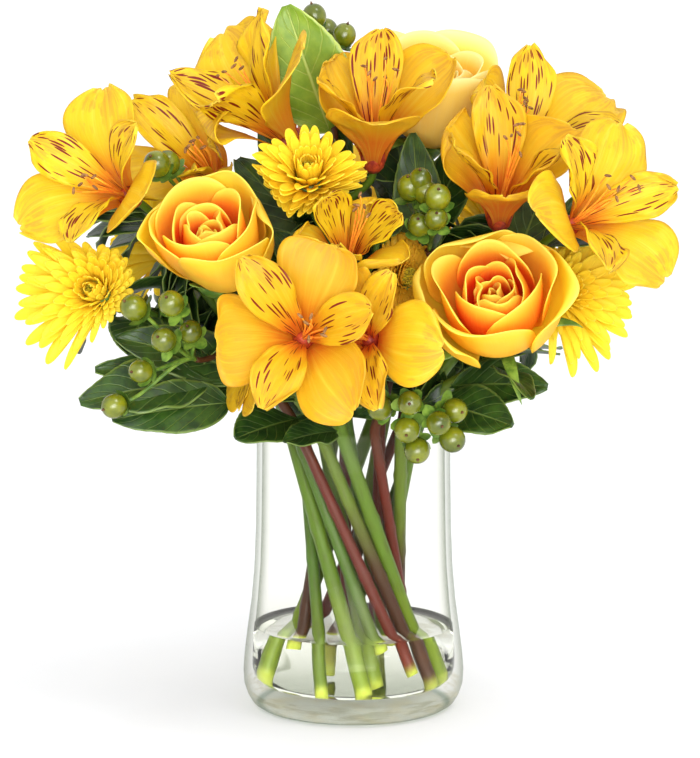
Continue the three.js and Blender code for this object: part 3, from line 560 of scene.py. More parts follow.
def tepal_look(name, tip, body, throat, dash, dashed=False):
    """A tepal with the throat's colour washed along its middle, pale streaks to the tip and brown mottling
    toward the tip, partly its own marks and partly painted shade. dashed ones carry dark dashes that follow
    their veins and run together in the throat."""
    look = Look(name)
    across, along = look.uv()
    own = look.tint()
    fan = look.times(across, 30.0)
    ribs = look.noise(look.point(fan, along, own), 2.0, 3.0)
    streaks = look.clamped(look.noise(look.point(fan, look.times(along, 2.0), own), 1.0, 4.0), 0.4, 0.75)
    colour = look.ramp(along, (0, dash), (0.1, throat), (0.2, throat), (0.38, body), (0.8, body), (1, tip))
    aside = look.aside(across)
    shade = look.times(streaks, look.clamped(aside, 0.42, 0.05))
    colour = look.mix(look.times(shade, 0.3), colour, look.mix(0.55, body, throat))
    light = look.noise(look.point(fan, look.times(along, 3.0), look.maths("ADD", own, 4.0)), 0.6, 3.0)
    colour = look.mix(look.times(look.clamped(light, 0.45, 0.75), 0.5), colour, tip)
    # large brown patches toward the tip: partly the tepal's own mottling, partly painted shade
    mottle_and_shade = look.noise(look.point(look.times(across, 3.0), look.times(along, 3.0), own), 1.6, 4.0)
    mottle_and_shade = look.times(look.clamped(mottle_and_shade, 0.44, 0.56), look.clamped(along, 0.3, 0.7))
    fleck = look.clamped(look.noise(look.point(fan, along, own), 1.2, 4.0), 0.35, 0.6)
    colour = look.mix(look.times(mottle_and_shade, look.times(fleck, 0.62)), colour, TEPAL_MOTTLE_AND_SHADE)
    if dashed:
        grain = look.point(look.times(across, 14.0), look.times(along, 4.2), own)
        cells = look.node("TexVoronoi", {"Vector": grain, "Scale": 1.0, "Randomness": 0.8})
        size = look.minus(0.36, look.times(along, 0.05))
        mark = look.clamped(look.minus(size, cells.outputs["Distance"]), 0.0, 0.06)
        ends = look.clamped(along, 0.98, 0.86)
        kept = look.clamped(look.noise(look.point(fan, along, own), 0.3), 0.34, 0.4)
        near = look.clamped(along, 0.5, 0.3)
        share = look.times(look.times(mark, ends), look.maths("MAXIMUM", kept, near))
        colour = look.mix(share, colour, dash)
    return petal_skin(look, colour, ribs, depth=0.22, roughness=0.42, share=0.42)


def floret_look(name, tip, body, root):
    look = Look(name)
    across, along = look.uv()
    ribs = look.noise(look.point(look.times(across, 8.0), along, look.tint()), 2.0, 2.0)
    colour = look.ramp(along, (0.0, root), (0.3, body), (0.8, body), (1.0, tip))
    colour = look.mix(look.times(look.tint(), 0.3), colour, root)
    return petal_skin(look, colour, ribs, depth=0.12, roughness=0.5, share=0.5)


def plain_look(name, dark, light, scale, roughness=0.5, depth=0.1, gloss=0.4):
    """Two mottled colours, for small parts."""
    look = Look(name)
    mottle = look.noise(look.place(), scale, 3.0)
    colour = look.mix(look.clamped(mottle, 0.35, 0.7), dark, light)
    return look.finish(look.coat(colour, roughness, look.bump(mottle, depth), gloss))


def leaf_look(name, dark, light, vein):
    look = Look(name)
    across, along = look.uv()
    aside = look.aside(across)
    slant = look.minus(look.times(along, 9.0), look.times(aside, 5.0))
    slant = look.maths("ADD", slant, look.times(look.noise(look.place(), 40.0), 0.8))
    saw = look.maths("ABSOLUTE", look.minus(look.maths("FRACT", slant), 0.5))
    side_vein = look.clamped(saw, 0.09, 0.0)
    rib = look.clamped(aside, 0.03, 0.008)
    lines = look.maths("MAXIMUM", rib, look.times(side_vein, 0.6))
    mottle = look.noise(look.place(), 120.0, 4.0)
    colour = look.mix(look.clamped(mottle, 0.3, 0.75), dark, light)
    colour = look.mix(look.clamped(aside, 0.44, 0.5), colour, vein)
    colour = look.mix(look.times(lines, 0.75), colour, vein)
    height = look.minus(look.times(mottle, 0.4), lines)
    surface = look.coat(colour, 0.42, look.bump(height, 0.35), 0.5)
    return look.finish(surface, look.node("BsdfTranslucent", {"Color": colour}), 0.16)


def stem_look(name, low, high, turning):
    """A stem that turns from one colour in the vase to another above it, about a height in millimetres."""
    look = Look(name)
    across, along = look.uv()
    grain = look.noise(look.point(look.times(across, 12.0), look.times(along, 14.0)), 1.5, 3.0)
    shift = look.maths("ADD", look.height(), look.times(look.noise(look.place(), 25.0), 0.05))
    colour = look.mix(look.clamped(shift, (turning - 5) * MM, (turning + 45) * MM), low, high)
    colour = look.mix(look.clamped(grain, 0.45, 0.8), colour, look.mix(0.5, colour, STEM_GRAIN))
    colour = look.mix(look.clamped(look.tint(), 0.5, 1.0), colour, STEM_CUT)
    return look.finish(look.coat(colour, 0.45, look.bump(grain, 0.25), 0.3))


def glass_look(name, clear, edge, foot):
    """Clear glass that darkens where it is seen edge on, with grey streaks painted in its thick bottom for
    the refraction seen through it.
    """
    look = Look(name)
    place = look.place()
    height = look.height()
    facing = look.node("LayerWeight", {"Blend": 0.4}).outputs["Facing"]
    tint = look.mix(look.clamped(facing, 0.42, 0.95), clear, edge)
    flat = look.node("Mapping", {"Vector": place, "Scale": (60.0, 60.0, 420.0)}).outputs[0]
    painted_refraction = look.noise(flat, 1.0, 3.0)
    # painted refraction: grey streaks in the foot colour stand in for what the thick bottom bends and gathers
    low = look.clamped(height, FLOOR * MM, (FLOOR - 1.5) * MM)
    tint = look.mix(look.times(low, look.clamped(painted_refraction, 0.42, 0.66)), tint, foot)
    reach = look.node("VectorMath", {0: place}, operation="LENGTH").outputs["Value"]
    rim = look.times(look.clamped(height, 1.8 * MM, 0.4 * MM), look.clamped(reach, 46 * MM, 50 * MM))
    tint = look.mix(look.times(rim, 0.5), tint, FOOT_EDGE)
    gloss = look.node("BsdfGlossy", {"Color": (1.0, 1.0, 1.0, 1.0), "Roughness": 0.02})
    shine = look.maths("ADD", 0.004, look.times(look.clamped(facing, 0.6, 1.0), 0.3))
    return look.finish(look.node("BsdfTransparent", {"Color": tint}), gloss, shine)


def water_look(name, colour):
    """Water that bends what stands in it. Lamps shine straight through it."""
    look = Look(name)
    ripples = look.noise(look.place(), 20.0, 2.0)
    values = {"Base Color": colour, "Roughness": 0.0, "IOR": 1.2, "Transmission Weight": 1.0}
    water = look.node("BsdfPrincipled", values | {"Normal": look.bump(ripples, 0.6)})
    clear = look.node("BsdfTransparent", {"Color": colour})
    return look.finish(water, clear, look.node("LightPath").outputs["Is Shadow Ray"])


LOOKS = {}


def dress(maker, name, *colours, **settings):
    """Adds a look by one of the functions above, with its colours as a screen shows them."""
    LOOKS[name] = maker(name, *[paint(*colour) for colour in colours], **settings)


MAROON = (134, 34, 16)
# rose colours: rim is a painted highlight, body the petal's own colour, heart a painted glow in the folds,
# root a painted shade at the petals' bases
dress(rose_look, "rose_golden", (255, 244, 120), (255, 238, 84), (255, 112, 40), (255, 226, 80))
dress(rose_look, "rose_pale", (255, 248, 190), (255, 236, 130), (254, 210, 90), (246, 226, 110))
dress(tepal_look, "outer_golden", (244, 226, 84), (238, 204, 36), (234, 156, 36), (222, 98, 34))
dress(tepal_look, "inner_golden", (246, 228, 74), (238, 208, 32), (236, 134, 34), MAROON, dashed=True)
dress(tepal_look, "outer_amber", (244, 222, 76), (238, 198, 36), (234, 136, 36), (206, 66, 30))
dress(tepal_look, "inner_amber", (246, 222, 66), (238, 200, 34), (236, 116, 34), MAROON, dashed=True)
# darker copies of the golden tepals: painted shade for blooms that sit low or in front, in shadow
dress(tepal_look, "outer_ochre", (240, 210, 62), (226, 178, 28), (230, 136, 32), (212, 84, 32))
dress(tepal_look, "inner_ochre", (242, 214, 60), (230, 188, 28), (234, 124, 32), MAROON, dashed=True)
dress(floret_look, "floret_golden", (255, 242, 100), (255, 236, 64), (252, 214, 36))
# a darker copy of the golden florets: painted shade for heads that sit in shadow
dress(floret_look, "floret_ochre", (254, 226, 84), (250, 212, 56), (232, 170, 30))
dress(plain_look, "eye", (138, 122, 24), (240, 222, 50), scale=900.0, depth=0.4)
dress(plain_look, "filament", (250, 176, 50), (240, 130, 44), scale=200.0)
dress(plain_look, "anther", (96, 62, 30), (158, 112, 62), scale=600.0, roughness=0.8, depth=0.3)
dress(plain_look, "throat", (132, 34, 18), (190, 76, 34), scale=260.0)
dress(plain_look, "berry", (66, 78, 8), (116, 122, 20), scale=60.0, roughness=0.22, depth=0.04, gloss=0.6)
dress(plain_look, "style", (62, 34, 20), (112, 76, 36), scale=500.0, roughness=0.7)
dress(plain_look, "sepal", (66, 100, 28), (122, 152, 54), scale=160.0, roughness=0.45)
dress(leaf_look, "leaf_dark", (24, 52, 16), (58, 92, 26), (110, 134, 60))
dress(leaf_look, "leaf_light", (112, 146, 34), (142, 170, 48), (186, 204, 104))
dress(stem_look, "stem_rose", (64, 34, 14), (88, 108, 26), turning=96)
dress(stem_look, "stem_hypericum", (90, 26, 8), (78, 44, 20), turning=150)
dress(stem_look, "stem_alstroemeria", (104, 124, 16), (82, 110, 20), turning=60)
dress(stem_look, "stem_chrysanthemum", (86, 106, 26), (70, 100, 26), turning=60)
# glass colours: clear, edge on, and the foot colour of the painted refraction streaks in its bottom
dress(glass_look, "glass", (254, 254, 252), (196, 200, 190), (232, 230, 218))
dress(water_look, "water", (252, 254, 252))


# ---- roses ----
ROSE_PETALS = 14
ROSE_HEART = 6  # small petals rolled round the middle
# How petals change from the outermost to the inner ones, as pairs: their lean in degrees at four places,
# their length, half the angle that they take up, and the radius and height of their roots.
ROSE = {"root": (78, 40), "belly": (9, -4), "shoulder": (22, -12), "rim": (74, -8)}
ROSE |= {"length": (46, 27), "half": (52, 74), "radius": (6.5, 3), "start": (-17, -14)}


def rose(bloom, draw):
    """Petals in a spiral, the outer ones with rims that curl back, and a tight heart."""
    place = placing(bloom.at, bloom.faces, bloom.turn)
    sheets = Sheets()
    s, t = shares(25, 23)
    s = s**0.85
    for i in range(ROSE_PETALS + ROSE_HEART):
        inward = min(1, i / (ROSE_PETALS - 1))
        core = max(0, i - ROSE_PETALS + 1) / ROSE_HEART
        angle = radians(GOLDEN_ANGLE * i + draw.uniform(-12, 12))
        edge = ripple(draw, 2.6, 1)(t, s)
        corner = 20 * t**2 * (1 - 0.6 * inward)
        curl = draw.uniform(-16, 16) * (1 - 0.6 * inward)
        shoulder = lerp(*ROSE["shoulder"], min(1, inward * 1.5))
        rim = lerp(*ROSE["rim"], min(1, inward * 1.3))
        stops = [
            (0, lerp(*ROSE["root"], inward)),
            (0.6, lerp(*ROSE["belly"], inward) - 4 * core),
            (0.84, shoulder + 6 * edge + 0.5 * corner + 0.4 * curl - 8 * core),
            (1, rim + 14 * edge + corner + curl - 14 * core),
        ]
        length = lerp(*ROSE["length"], inward) * draw.uniform(0.95, 1.04) - 4 * core
        r, h, _ = lean_path(stops, length, s * (1 - 0.15 * np.abs(t) ** 2.4 * s))
        half = radians(lerp(lerp(*ROSE["half"], inward), 96, core))
        around = angle + t * half * (0.3 + 0.7 * np.sin(pi * (0.08 + 0.68 * s)))
        root = lerp(lerp(*ROSE["radius"], inward), 0.7, core)
        out = (root + r * (1 - 0.32 * core) + 0.7 * edge * s + 1.2 * (t > 0) * t**2 * s) * bloom.size
        up = (lerp(*ROSE["start"], inward) + h) * bloom.size
        points = settle(place(out * np.cos(around), out * np.sin(around), up), bloom.name)
        # tint is how far inward the petal sits, which sets how much painted glow it takes
        sheets.grid(points, tint=min(1, inward * 0.85 + 0.3 * core))
    sheets.piece("petals_" + bloom.name, ["rose_" + bloom.look], "rose_petal", [bloom.name], 0.55)
    rose_hip(bloom, draw, place)


def rose_hip(bloom, draw, place):
    """The green hip under a rose, with five narrow sepals that bend down."""
    sheets = Sheets()
    sheets.spindle(place, [(-24, 2.9), (-22, 4.4), (-19.5, 6.4), (-17, 7.4), (-14, 7.2)], bloom.size, 18)
    s, t = shares(12, 7)
    for k in range(5):
        angle = radians(72 * k + draw.uniform(-8, 8))
        r, h, _ = lean_path([(0, 60), (1, 128 + draw.uniform(-12, 14))], 24, s)
        side = t * 3.6 * (1 - s) ** 0.7 * (0.75 + 0.5 * np.sin(pi * s))
        out = (6.8 + r - 0.036 * side**2) * bloom.size
        x, y = radial(angle, out, side)
        sheets.grid(settle(place(x, y, (h - 16.5) * bloom.size), bloom.name))
    sheets.piece("hip_" + bloom.name, ["sepal"], "stem", [bloom.name], 0.5)


# ---- alstroemerias ----
TEPAL = {"length": 52, "outer": 37, "inner": 20}


def tepal_width(s):
    """The outline of a tepal, as a share of its greatest width."""
    return 0.14 + 0.86 * np.maximum(0, np.sin(pi * s**2)) ** 0.8


def alstroemeria(bloom, draw):
    """Three broad notched tepals and, between them, three narrow ones that carry the dashes."""
    place = placing(bloom.at, bloom.faces, bloom.turn)
    sheets = Sheets()
    s, t = shares(30, 23)
    s = np.sin(s * pi / 2) ** 1.15 * 0.985
    for k in range(6):
        inner = k % 2 == 1
        angle = radians(60 * k)
        sway = draw.uniform(-6, 6)
        lean_tip = bloom.open - 14 if inner else bloom.open + 10
        stops = [(0, 8), (0.8, lean_tip * 0.84 + sway), (1, lean_tip + sway + draw.uniform(-4, 22))]
        r, h, lean = lean_path(stops, TEPAL["length"], s)
        width = TEPAL["inner" if inner else "outer"]
        side = t * width * tepal_width(s) * (1 - 0.45 * s**14 * inner) / 2
        soft = np.sqrt(side**2 + 0.4) - 0.63
        frill = ripple(draw, 7, 2.2 if inner else 1.7)(s * 2.6, t) * t**2 * s
        cup = (0.3 if inner else 0.12 * s) * soft + frill
        notch = 0 if inner else 1.6 * np.exp(-((t / 0.16) ** 2)) * np.clip((s - 0.9) * 10, 0, 1)
        out = (1.4 if inner else 3.6) + r - cup * np.cos(lean) - notch * np.sin(lean)
        up = h + cup * np.sin(lean) - notch * np.cos(lean) - 5
        x, y = radial(angle, out, side)
        points = place(x * bloom.size, y * bloom.size, up * bloom.size)
        sheets.grid(settle(points, bloom.name), draw.uniform(0, 1), int(inner))
    looks = ["outer_" + bloom.look, "inner_" + bloom.look]
    sheets.piece("tepals_" + bloom.name, looks, "alstroemeria_petal", [bloom.name], 0.5)
    stamens(bloom, draw, place)


def stamens(bloom, draw, place):
    """Six bent filaments with their anthers, and the dark red throat that they stand in."""
    sheets = Sheets()
    size = bloom.size
    droop = draw.uniform(0, 2 * pi)
    for k in range(6):
        angle = droop + draw.uniform(-0.9, 0.9)
        spread = draw.uniform(4, 13)
        length = draw.uniform(26, 35)
        aim = (cos(angle), sin(angle))
        handles = [
            (0.9 * cos(k), 0.9 * sin(k), -3),
            (1.5 * aim[0], 1.5 * aim[1], length * 0.45),
            (spread * aim[0], spread * aim[1], length * 0.7),
            (spread * 0.8 * aim[0] + cos(k) * 3, spread * 0.8 * aim[1] + sin(k) * 3, length),
        ]
        path = bezier([place(*(np.array(p) * size)) for p in handles], np.linspace(0, 1, 12))
        path = settle(path, bloom.name, 0.4)
        sheets.tube(path, np.linspace(0.55, 0.35, 12), 6)
        ahead = unit(path[-1] - path[-2])
        cross = unit(np.cross(ahead, draw.uniform(-1, 1, 3)))
        anther = [path[-1] + cross * q for q in np.linspace(-1.9, 1.9, 7)]
        sheets.tube(anther, [0.2, 0.6, 0.75, 0.7, 0.75, 0.6, 0.2], 8, material=1)
    sheets.spindle(place, [(-9, 2.6), (-7, 4.0), (-4.5, 4.6), (-1, 4.2), (2, 1.8)], size, 16, material=2)
    looks = ["filament", "anther", "throat"]
    sheets.piece("stamens_" + bloom.name, looks, "alstroemeria_petal", [bloom.name])


# ---- chrysanthemums ----
# Rings of florets from the outside in: how many, their length and width, where their roots stand on the hub,
# as radius and height, and their lean at root and tip.
RINGS = [
    (20, 28, 5.6, (6.5, -8), (66, 104)),
    (20, 26, 5.4, (6.4, -6.6), (56, 96)),
    (19, 23.5, 5.2, (6.0, -5.2), (46, 88)),
    (18, 20, 4.8, (5.5, -4), (36, 76)),
    (16, 16.5, 4.2, (5.0, -2.6), (26, 60)),
    (14, 13, 3.6, (4.6, -1.4), (16, 38)),
    (13, 10, 3.0, (4.1, -0.6), (4, 4)),
    (11, 8, 2.6, (3.5, -0.2), (-4, -14)),
]
REACHES = (1, 0.9, 0.8, 0.7, 0.6, 0.5, 0.4)  # shares of its length tried for each floret
LEAST_REACH = 0.35  # taken where a neighbour leaves no room for any of them
CHANNEL = 0.16  # depth of the hollow along a floret, as a share of half its width
EYE_FLORETS = 60


def chrysanthemum(bloom, draw):
    """Rings of florets round a hub. A floret that has no room keeps to a share of its length."""
    place = placing(bloom.at, bloom.faces, bloom.turn)
    size = bloom.size
    sheets = Sheets()
    s, t = shares(11, 6)
    s = np.sin(s * pi / 2)
    outline = (0.3 + 0.7 * np.sin(pi * (0.1 + 0.58 * s))) * np.maximum(0, 1 - s**7) ** 0.5
    for ring, (count, length, width, root, lean) in enumerate(RINGS):
        for k in range(count):
            angle = 2 * pi * (k + 0.5 * (ring % 2) + draw.uniform(-0.16, 0.16)) / count
            wilt = draw.uniform(-7, 7)
            stops = [(end, degrees * lerp(0.25, 1, bloom.open) + wilt) for end, degrees in enumerate(lean)]
            stops = [stops[0], (0.8, stops[1][1] * 0.86), (1, stops[1][1] + draw.uniform(-22, 8))]
            long = length * draw.uniform(0.93, 1.05)

            def middle(share, reach):
                r, h, _ = lean_path(stops, long * reach, share)
                out = (root[0] + r) * size
                return place(out * cos(angle), out * sin(angle), (root[1] + h) * size)

            fits = [q for q in REACHES if crowding(middle(np.array([1.0]), q), bloom.name, 0.6) < PRESS / 3]
            reach = fits[0] if fits else LEAST_REACH
            r, h, tilt = lean_path(stops, long * reach, s)
            half = width * sqrt(reach) / 2
            side = t * half * outline
            channel = CHANNEL * (np.abs(side) - 0.1 * half)
            lift = channel + 0.175 * half * t**2
            out = root[0] + r - lift * np.cos(tilt)
            up = root[1] + h + lift * np.sin(tilt)
            x, y = radial(angle, out, side)
            points = place(x * size, y * size, up * size)
            sheets.grid(settle(points, bloom.name, 0.6), draw.uniform(0, 0.4) + 0.08 * ring)
    looks = ["floret_" + bloom.look]
    sheets.piece("florets_" + bloom.name, looks, "chrysanthemum_petal", [bloom.name], 0.45)
    eye_and_cup(bloom, draw, place)


def eye_and_cup(bloom, draw, place):
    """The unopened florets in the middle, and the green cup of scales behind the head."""
    size = bloom.size
    sheets = Sheets()
    for k in range(EYE_FLORETS):
        spot = sqrt((k + 0.5) / EYE_FLORETS) * 3.6
        angle = radians(GOLDEN_ANGLE * k)
        base = (*radial(angle, spot, 0), -2.0)
        top = (*radial(angle, spot * 1.06, 0), 3.4 - 0.1 * spot**2 + draw.uniform(0, 0.8))
        path = bezier([place(*(np.array(p) * size)) for p in (base, top)], np.linspace(0, 1, 4))
        sheets.tube(path, [0.5, 0.62, 0.6, 0.25], 6)
    cup = [(-16, 2.6), (-14.5, 4.6), (-12.5, 7.0), (-10, 8.0), (-8, 7.4), (-2, 4.6)]
    sheets.spindle(place, cup, size, 20, material=1)
    s, t = shares(6, 4)
    for k in range(18):
        angle = radians(20 * k)
        r, h, _ = lean_path([(0, 74), (1, 28)], 8, s)
        side = t * 1.7 * (1 - 0.8 * s**2)
        x, y = radial(angle, 4.5 + r, side)
        sheets.grid(place(x * size, y * size, (h - 15) * size), material=1)
    sheets.piece("eye_" + bloom.name, ["eye", "sepal"], "chrysanthemum_petal", [bloom.name])


# ---- stems ----
SEAT = {"rose": -24, "alstroemeria": -9, "chrysanthemum": -16}  # where a bloom meets its stem, on its axis
JOINTS = {"rose": 46, "hypericum": 38, "alstroemeria": 64, "chrysanthemum": 40}  # from one to the next


def polar(radius, degrees, z):
    return np.array([radius * cos(radians(degrees)), radius * sin(radians(degrees)), z])


def node_of(stem):
    return stem.name if kind(stem) == "hypericum" else "stem_" + stem.name


def branch(start, leaving, end, arriving):
    """A smooth branch that leaves one point along a direction and reaches another along a second one."""
    pull = np.linalg.norm(end - start) * 0.36
    return [start, start + leaving * pull, end - arriving * pull, end]


def routes(stem):
    """Every tube of a stem: its straight foot, then curves as Bezier handles, the main one first."""
    neck = polar(stem.radius, stem.angle, NECK)
    floor = polar(stem.radius * SPREAD, stem.angle + TWIST, FLOOR + CLEAR + THICKNESS[kind(stem)] * 0.45)
    foot = lerp(floor, neck, stem.short)
    rising = unit(neck - foot)
    heads = []
    for b in BLOOMS:
        if b.stem == stem.name:
            end = placing(b.at, b.faces, 0)(0, 0, SEAT[kind(b)] * b.size - CLEAR)
            heads.append((end, unit(b.faces)))
    for c in CLUSTERS:
        if c.stem == stem.name:
            heads.append((np.array(c.fork, float), unit(homes["berries_" + c.name][0] - c.fork)))
    if len(heads) == 1:
        return foot, [branch(neck, rising, *heads[0])]
    default = lerp(lerp(heads[0][0], heads[1][0], 0.5), neck, 0.45)
    fork = np.array(stem.fork, float) if stem.fork else default
    upward = unit(fork - neck)
    twigs = [branch(fork - upward, upward, end, arriving) for end, arriving in heads]
    return foot, [branch(neck, rising, fork, upward)] + twigs


def stalk(stem, draw):
    """The bare stem with its swollen joints: straight in the vase, then a curve, and its twigs."""
    foot, curves = routes(stem)
    radius = THICKNESS[kind(stem)]
    neck = curves[0][0]
    sheets = Sheets()
    straight = lerp(foot, neck, np.linspace(0, 1, 40)[:-1, None])
    main = np.concatenate([straight, bezier(curves[0], np.linspace(0, 1, 34))])
    steps = np.linalg.norm(np.diff(main, axis=0), axis=1)
    run = np.concatenate([[0], np.cumsum(steps)])
    width = radius * lerp(1, 0.82, run / run[-1])
    joints = np.arange(draw.uniform(14, 34), run[-1] - 6, JOINTS[kind(stem)])
    bulge = sum(np.exp(-(((run - j) / 2.2) ** 2)) for j in joints)
    width = width * (1 + 0.16 * np.clip(bulge, 0, 1))
    tint = np.clip(0.35 * bulge + np.exp(-run / 9), 0, 1)
    sheets.tube(main, width, 14, tint)
    for curve in curves[1:]:
        path = bezier(curve, np.linspace(0, 1, 24))
        sheets.tube(path, np.linspace(radius * 0.55, radius * 0.46, 24), 10, 0.0)
    slot = "hypericum" if kind(stem) == "hypericum" else "stem"
    sheets.piece("stalk_" + stem.name, ["stem_" + kind(stem)], slot, [node_of(stem)])


# ---- leaves ----
STALK_ROWS = 0.3  # rows for a leaf's bare stalk, as a share of those for its blade


def leaf_width(s):
    """The outline of a leaf, as a share of its greatest width."""
    return 0.08 + 0.92 * np.maximum(0, np.sin(pi * np.clip(s, 0, 1) ** 0.8)) ** 0.8


def leaf_blade(sheets, start, tip, face, width, stalk_share, draw, rows=34, columns=17):
    """A leaf that bends over from start to tip, folded along its rib, with a toothed and wavy edge."""
    face = unit(face)
    length = np.linalg.norm(tip - start)
    bend = lerp(start, tip, 0.45) + face * length * 0.16
    part = np.linspace(-STALK_ROWS, 1, rows)
    s = np.where(part < 0, stalk_share * (1 + part / STALK_ROWS), lerp(stalk_share, 1, part))
    middle = bezier([start, bend, tip], s)
    along = np.gradient(middle, axis=0)
    along /= np.linalg.norm(along, axis=1)[:, None]
    across = np.cross(along, face)
    across /= np.linalg.norm(across, axis=1)[:, None]
    lift = np.cross(across, along)
    t = np.linspace(-1, 1, columns)
    spread = np.where(part < 0, 0.06, leaf_width(part * 0.995)) * width / 2
    wave = ripple(draw, 5, width * 0.05)
    saw = 1 + 0.035 * np.where(part > 0.05, np.abs(((part * 13) % 1) - 0.5) * 2, 0)
    half = (spread * saw)[:, None] * t[None, :]
    rise = 0.22 * np.abs(half) + wave(part[:, None] * 3, t[None, :] * 0.4) * t[None, :] ** 2
    points = middle[:, None] + across[:, None] * half[..., None] + lift[:, None] * rise[..., None]
    sheets.grid(points, draw.uniform(0, 1))


def foliage(stem, draw):
    """The large leaves of a stem, in one piece for each look."""
    own = LEAVES.get(stem.name, [])
    curve = routes(stem)[1][0]
    for look in sorted({leaf.look for leaf in own}):
        sheets = Sheets()
        for leaf in own:
            if leaf.look == look:
                start = bezier(curve, [leaf.share])[0]
                leaf_blade(sheets, start, np.array(leaf.tip, float), leaf.side, leaf.width, leaf.stalk, draw)
        sheets.piece(f"leaves_{look}_{stem.name}", ["leaf_" + look], "stem", [node_of(stem)], 0.6)


def clearance(points):
    """How far outside the space of every bloom and cluster some points lie, at the least."""
    spaces = homes.values()
    return min(float(np.min(np.linalg.norm(points - centre, axis=-1))) - radius for centre, radius in spaces)


BOUQUET_HEART = np.array([0, 0, 200])
LEAF_LOW = 164  # height under which no small leaf grows
SPRIG_STEP = 0.09  # share of a stem between its small leaves
SPRIG_TRIES = 60  # ways tried for each small leaf, of which the clearest is kept
SPRIG_PRESS = 18  # how far its tip may reach into the space of a bloom


def sprigs(stem, draw):
    """Small leaves on the upper part of a stem and its twigs, each turned to where the blooms leave room."""
    sheets = Sheets()
    for curve in routes(stem)[1]:
        for share in np.arange(0.2, 0.95, SPRIG_STEP) + draw.uniform(0, 0.06):
            start = bezier(curve, [share])[0]
            if start[2] < LEAF_LOW:
                continue
            ways = draw.normal(size=(SPRIG_TRIES, 3)) + unit(start - BOUQUET_HEART) * 0.8
            ways *= draw.uniform(34, 62, (SPRIG_TRIES, 1)) / np.linalg.norm(ways, axis=1)[:, None]
            tips = [start + way for way in ways if inside_bouquet(start + way)]
            if not tips:
                continue
            tip = max(tips, key=lambda end: clearance(np.array([end, lerp(start, end, 0.6)])))
            if clearance(np.array([tip])) < -SPRIG_PRESS:
                continue
            face = unit(unit(tip - BOUQUET_HEART) + np.array([0, 0, 0.5]))
            leaf_blade(sheets, start, tip, face, draw.uniform(15, 24), 0.12, draw, rows=13, columns=7)
    if sheets.count:
        sheets.piece("sprigs_" + stem.name, ["leaf_dark"], "stem", [node_of(stem)], 0.5)


def inside_bouquet(point):
    """Whether a point keeps inside the part's own box and clear of the glass."""
    low, high = np.array(cad_box) / MM
    return np.all(point > low + 4) and np.all(point < high - 4) and point[2] > LEAF_LOW


# ---- hypericum ----
def berries(cluster, draw):
    """Round berries with their styles, each on a thin stalk and in five sepals."""
    own = "berries_" + cluster.name
    root = np.array(cluster.fork, float)
    outward = unit(homes[own][0] - root)
    sheets = Sheets()
    for centre in cluster.berries:
        at = settle(np.array([centre], float), own, BERRY_RADIUS)[0]
        facing = unit(lerp(outward, unit(at - root), 0.7))
        radius = BERRY_RADIUS * draw.uniform(0.9, 1.04)
        turns = np.linspace(0, pi, 15)[1:-1]
        path = [at - facing * 1.06 * radius * cos(a) for a in turns]
        sheets.tube(path, [radius * sin(a) ** 0.92 for a in turns], 20)
        tip = at + facing * radius * 1.02
        sheets.tube([tip, tip + facing * 0.8, tip + facing * 1.5], [0.9, 0.5, 0.2], 7, material=1)
        back = at - facing * radius
        stalk_end = back - facing * 1.2
        stalk_path = bezier(branch(root, outward, stalk_end, facing), np.linspace(0, 1, 12))
        sheets.tube(stalk_path, np.linspace(1.15, 0.95, 12), 8, material=2)
        place = placing(back, facing, draw.uniform(0, 360))
        s, t = shares(8, 6)
        for k in range(5):
            angle = radians(72 * k)
            size = draw.uniform(0.8, 1.1)
            r, h, _ = lean_path([(0, 86), (1, 40 + draw.uniform(-10, 44))], 8.2 * size, s)
            side = t * 3.1 * size * np.sin(pi * (0.12 + 0.8 * s)) ** 0.8
            sheets.grid(place(*radial(angle, 0.8 + r, side), h - 0.9), material=2)
    sheets.piece(own, ["berry", "style", "sepal"], "hypericum", [cluster.stem])


# ---- glass and water ----
def turned(profile, segments=128):
    """Rings of a profile turned about the vase's axis."""
    turns = np.linspace(0, 2 * pi, segments, endpoint=False)
    return np.array([[(r * cos(a), r * sin(a), z) for a in turns] for r, z in profile])


def vase():
    middle, height = RIM
    turns = np.linspace(0.2, pi - 0.2, 7)
    rim = [(middle + RIM_RADIUS * cos(a), height + RIM_RADIUS * sin(a)) for a in turns]
    sheets = Sheets()
    sheets.grid(turned([(CAP, 0)] + VASE_OUTSIDE + rim + VASE_INSIDE), closed=True, capped=True)
    sheets.piece("glass_vase", ["glass"], "glass", ["vase"])


def water():
    """The pool. It reaches a little into the glass, so that no gap shows, and climbs at its edge."""
    wet = [(r + 0.3, z - 0.2) for r, z in reversed(VASE_INSIDE) if z < WATER_LEVEL - 2]
    top = [(52.2, WATER_LEVEL + 0.6), (51.0, WATER_LEVEL), (44, WATER_LEVEL), (CAP, WATER_LEVEL)]
    sheets = Sheets()
    sheets.grid(turned(wet + top), closed=True, capped=True)
    sheets.piece("vase_water", ["water"], "water", ["water"])


# ---- room ----
LAMPS_AIM = Vector((0, 0, 0.22))
CAMERA_PLACE = (-0.0018, -1.3, 0.328)
CAMERA_TILT = 6.84  # degrees that it looks down
CAMERA_LENS = 119.4


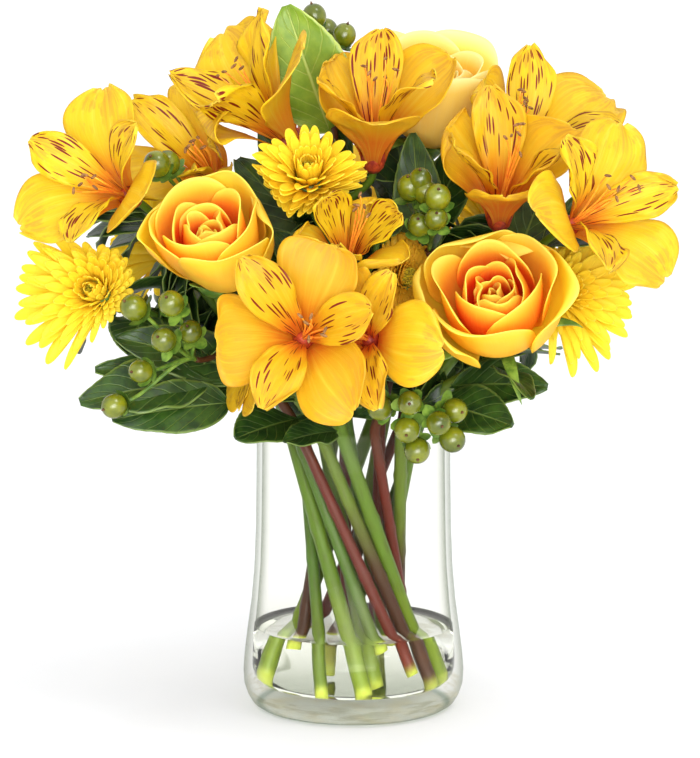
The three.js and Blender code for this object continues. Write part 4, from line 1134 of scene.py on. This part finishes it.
def panel(name, energy, size, place):
    """A square lamp that shines on the middle of the bouquet."""
    lamp = bpy.data.lights.new(name, "AREA")
    lamp.energy = energy
    lamp.size = size
    piece = put(name, lamp, place)
    piece.rotation_euler = (LAMPS_AIM - piece.location).to_track_quat("-Z", "Y").to_euler()


def room():
    """A white floor and sky, a soft sun and two lamps."""
    bpy.ops.mesh.primitive_plane_add(size=12, location=(0, 2, -0.5 * MM))
    floor = bpy.context.object
    floor.name = "floor"
    look = Look("floor")
    grain = look.noise(look.place(), 30.0)
    white = look.mix(grain, paint(236, 237, 239), paint(238, 239, 241))
    surface = look.node("BsdfPrincipled", {"Base Color": white, "Roughness": 0.7})
    floor.data.materials.append(look.finish(surface))
    world = bpy.data.worlds.new("world")
    world.use_nodes = True
    sky = world.node_tree.nodes["Background"].inputs
    sky["Color"].default_value = (1, 1, 1, 1)
    sky["Strength"].default_value = 1.15
    bpy.context.scene.world = world
    sun = bpy.data.lights.new("sun", "SUN")
    sun.energy = 0.7
    sun.angle = radians(20)
    put("sun", sun).rotation_euler = (radians(26), radians(24), 0)
    panel("panel", energy=33, size=1.2, place=(0.25, -1.9, 0.4))
    panel("fill", energy=8, size=0.8, place=(-0.2, -1.1, 0.03))
    bpy.context.scene.view_settings.view_transform = "Standard"


def camera():
    """The camera that took the photo."""
    eye = bpy.data.cameras.new("camera")
    eye.lens = CAMERA_LENS
    piece = put("camera", eye, CAMERA_PLACE)
    piece.rotation_euler = (radians(90 - CAMERA_TILT), 0, 0)
    bpy.context.scene.camera = piece


MAKERS = {"rose": rose, "alstroemeria": alstroemeria, "chrysanthemum": chrysanthemum}

for seed, bloom in enumerate(BLOOMS):
    MAKERS[kind(bloom)](bloom, np.random.default_rng(seed))
for seed, stem in enumerate(STEMS):
    for first_seed, grow in ((100, stalk), (200, foliage), (400, sprigs)):
        grow(stem, np.random.default_rng(first_seed + seed))
for seed, cluster in enumerate(CLUSTERS):
    berries(cluster, np.random.default_rng(300 + seed))
vase()
water()
room()
camera()
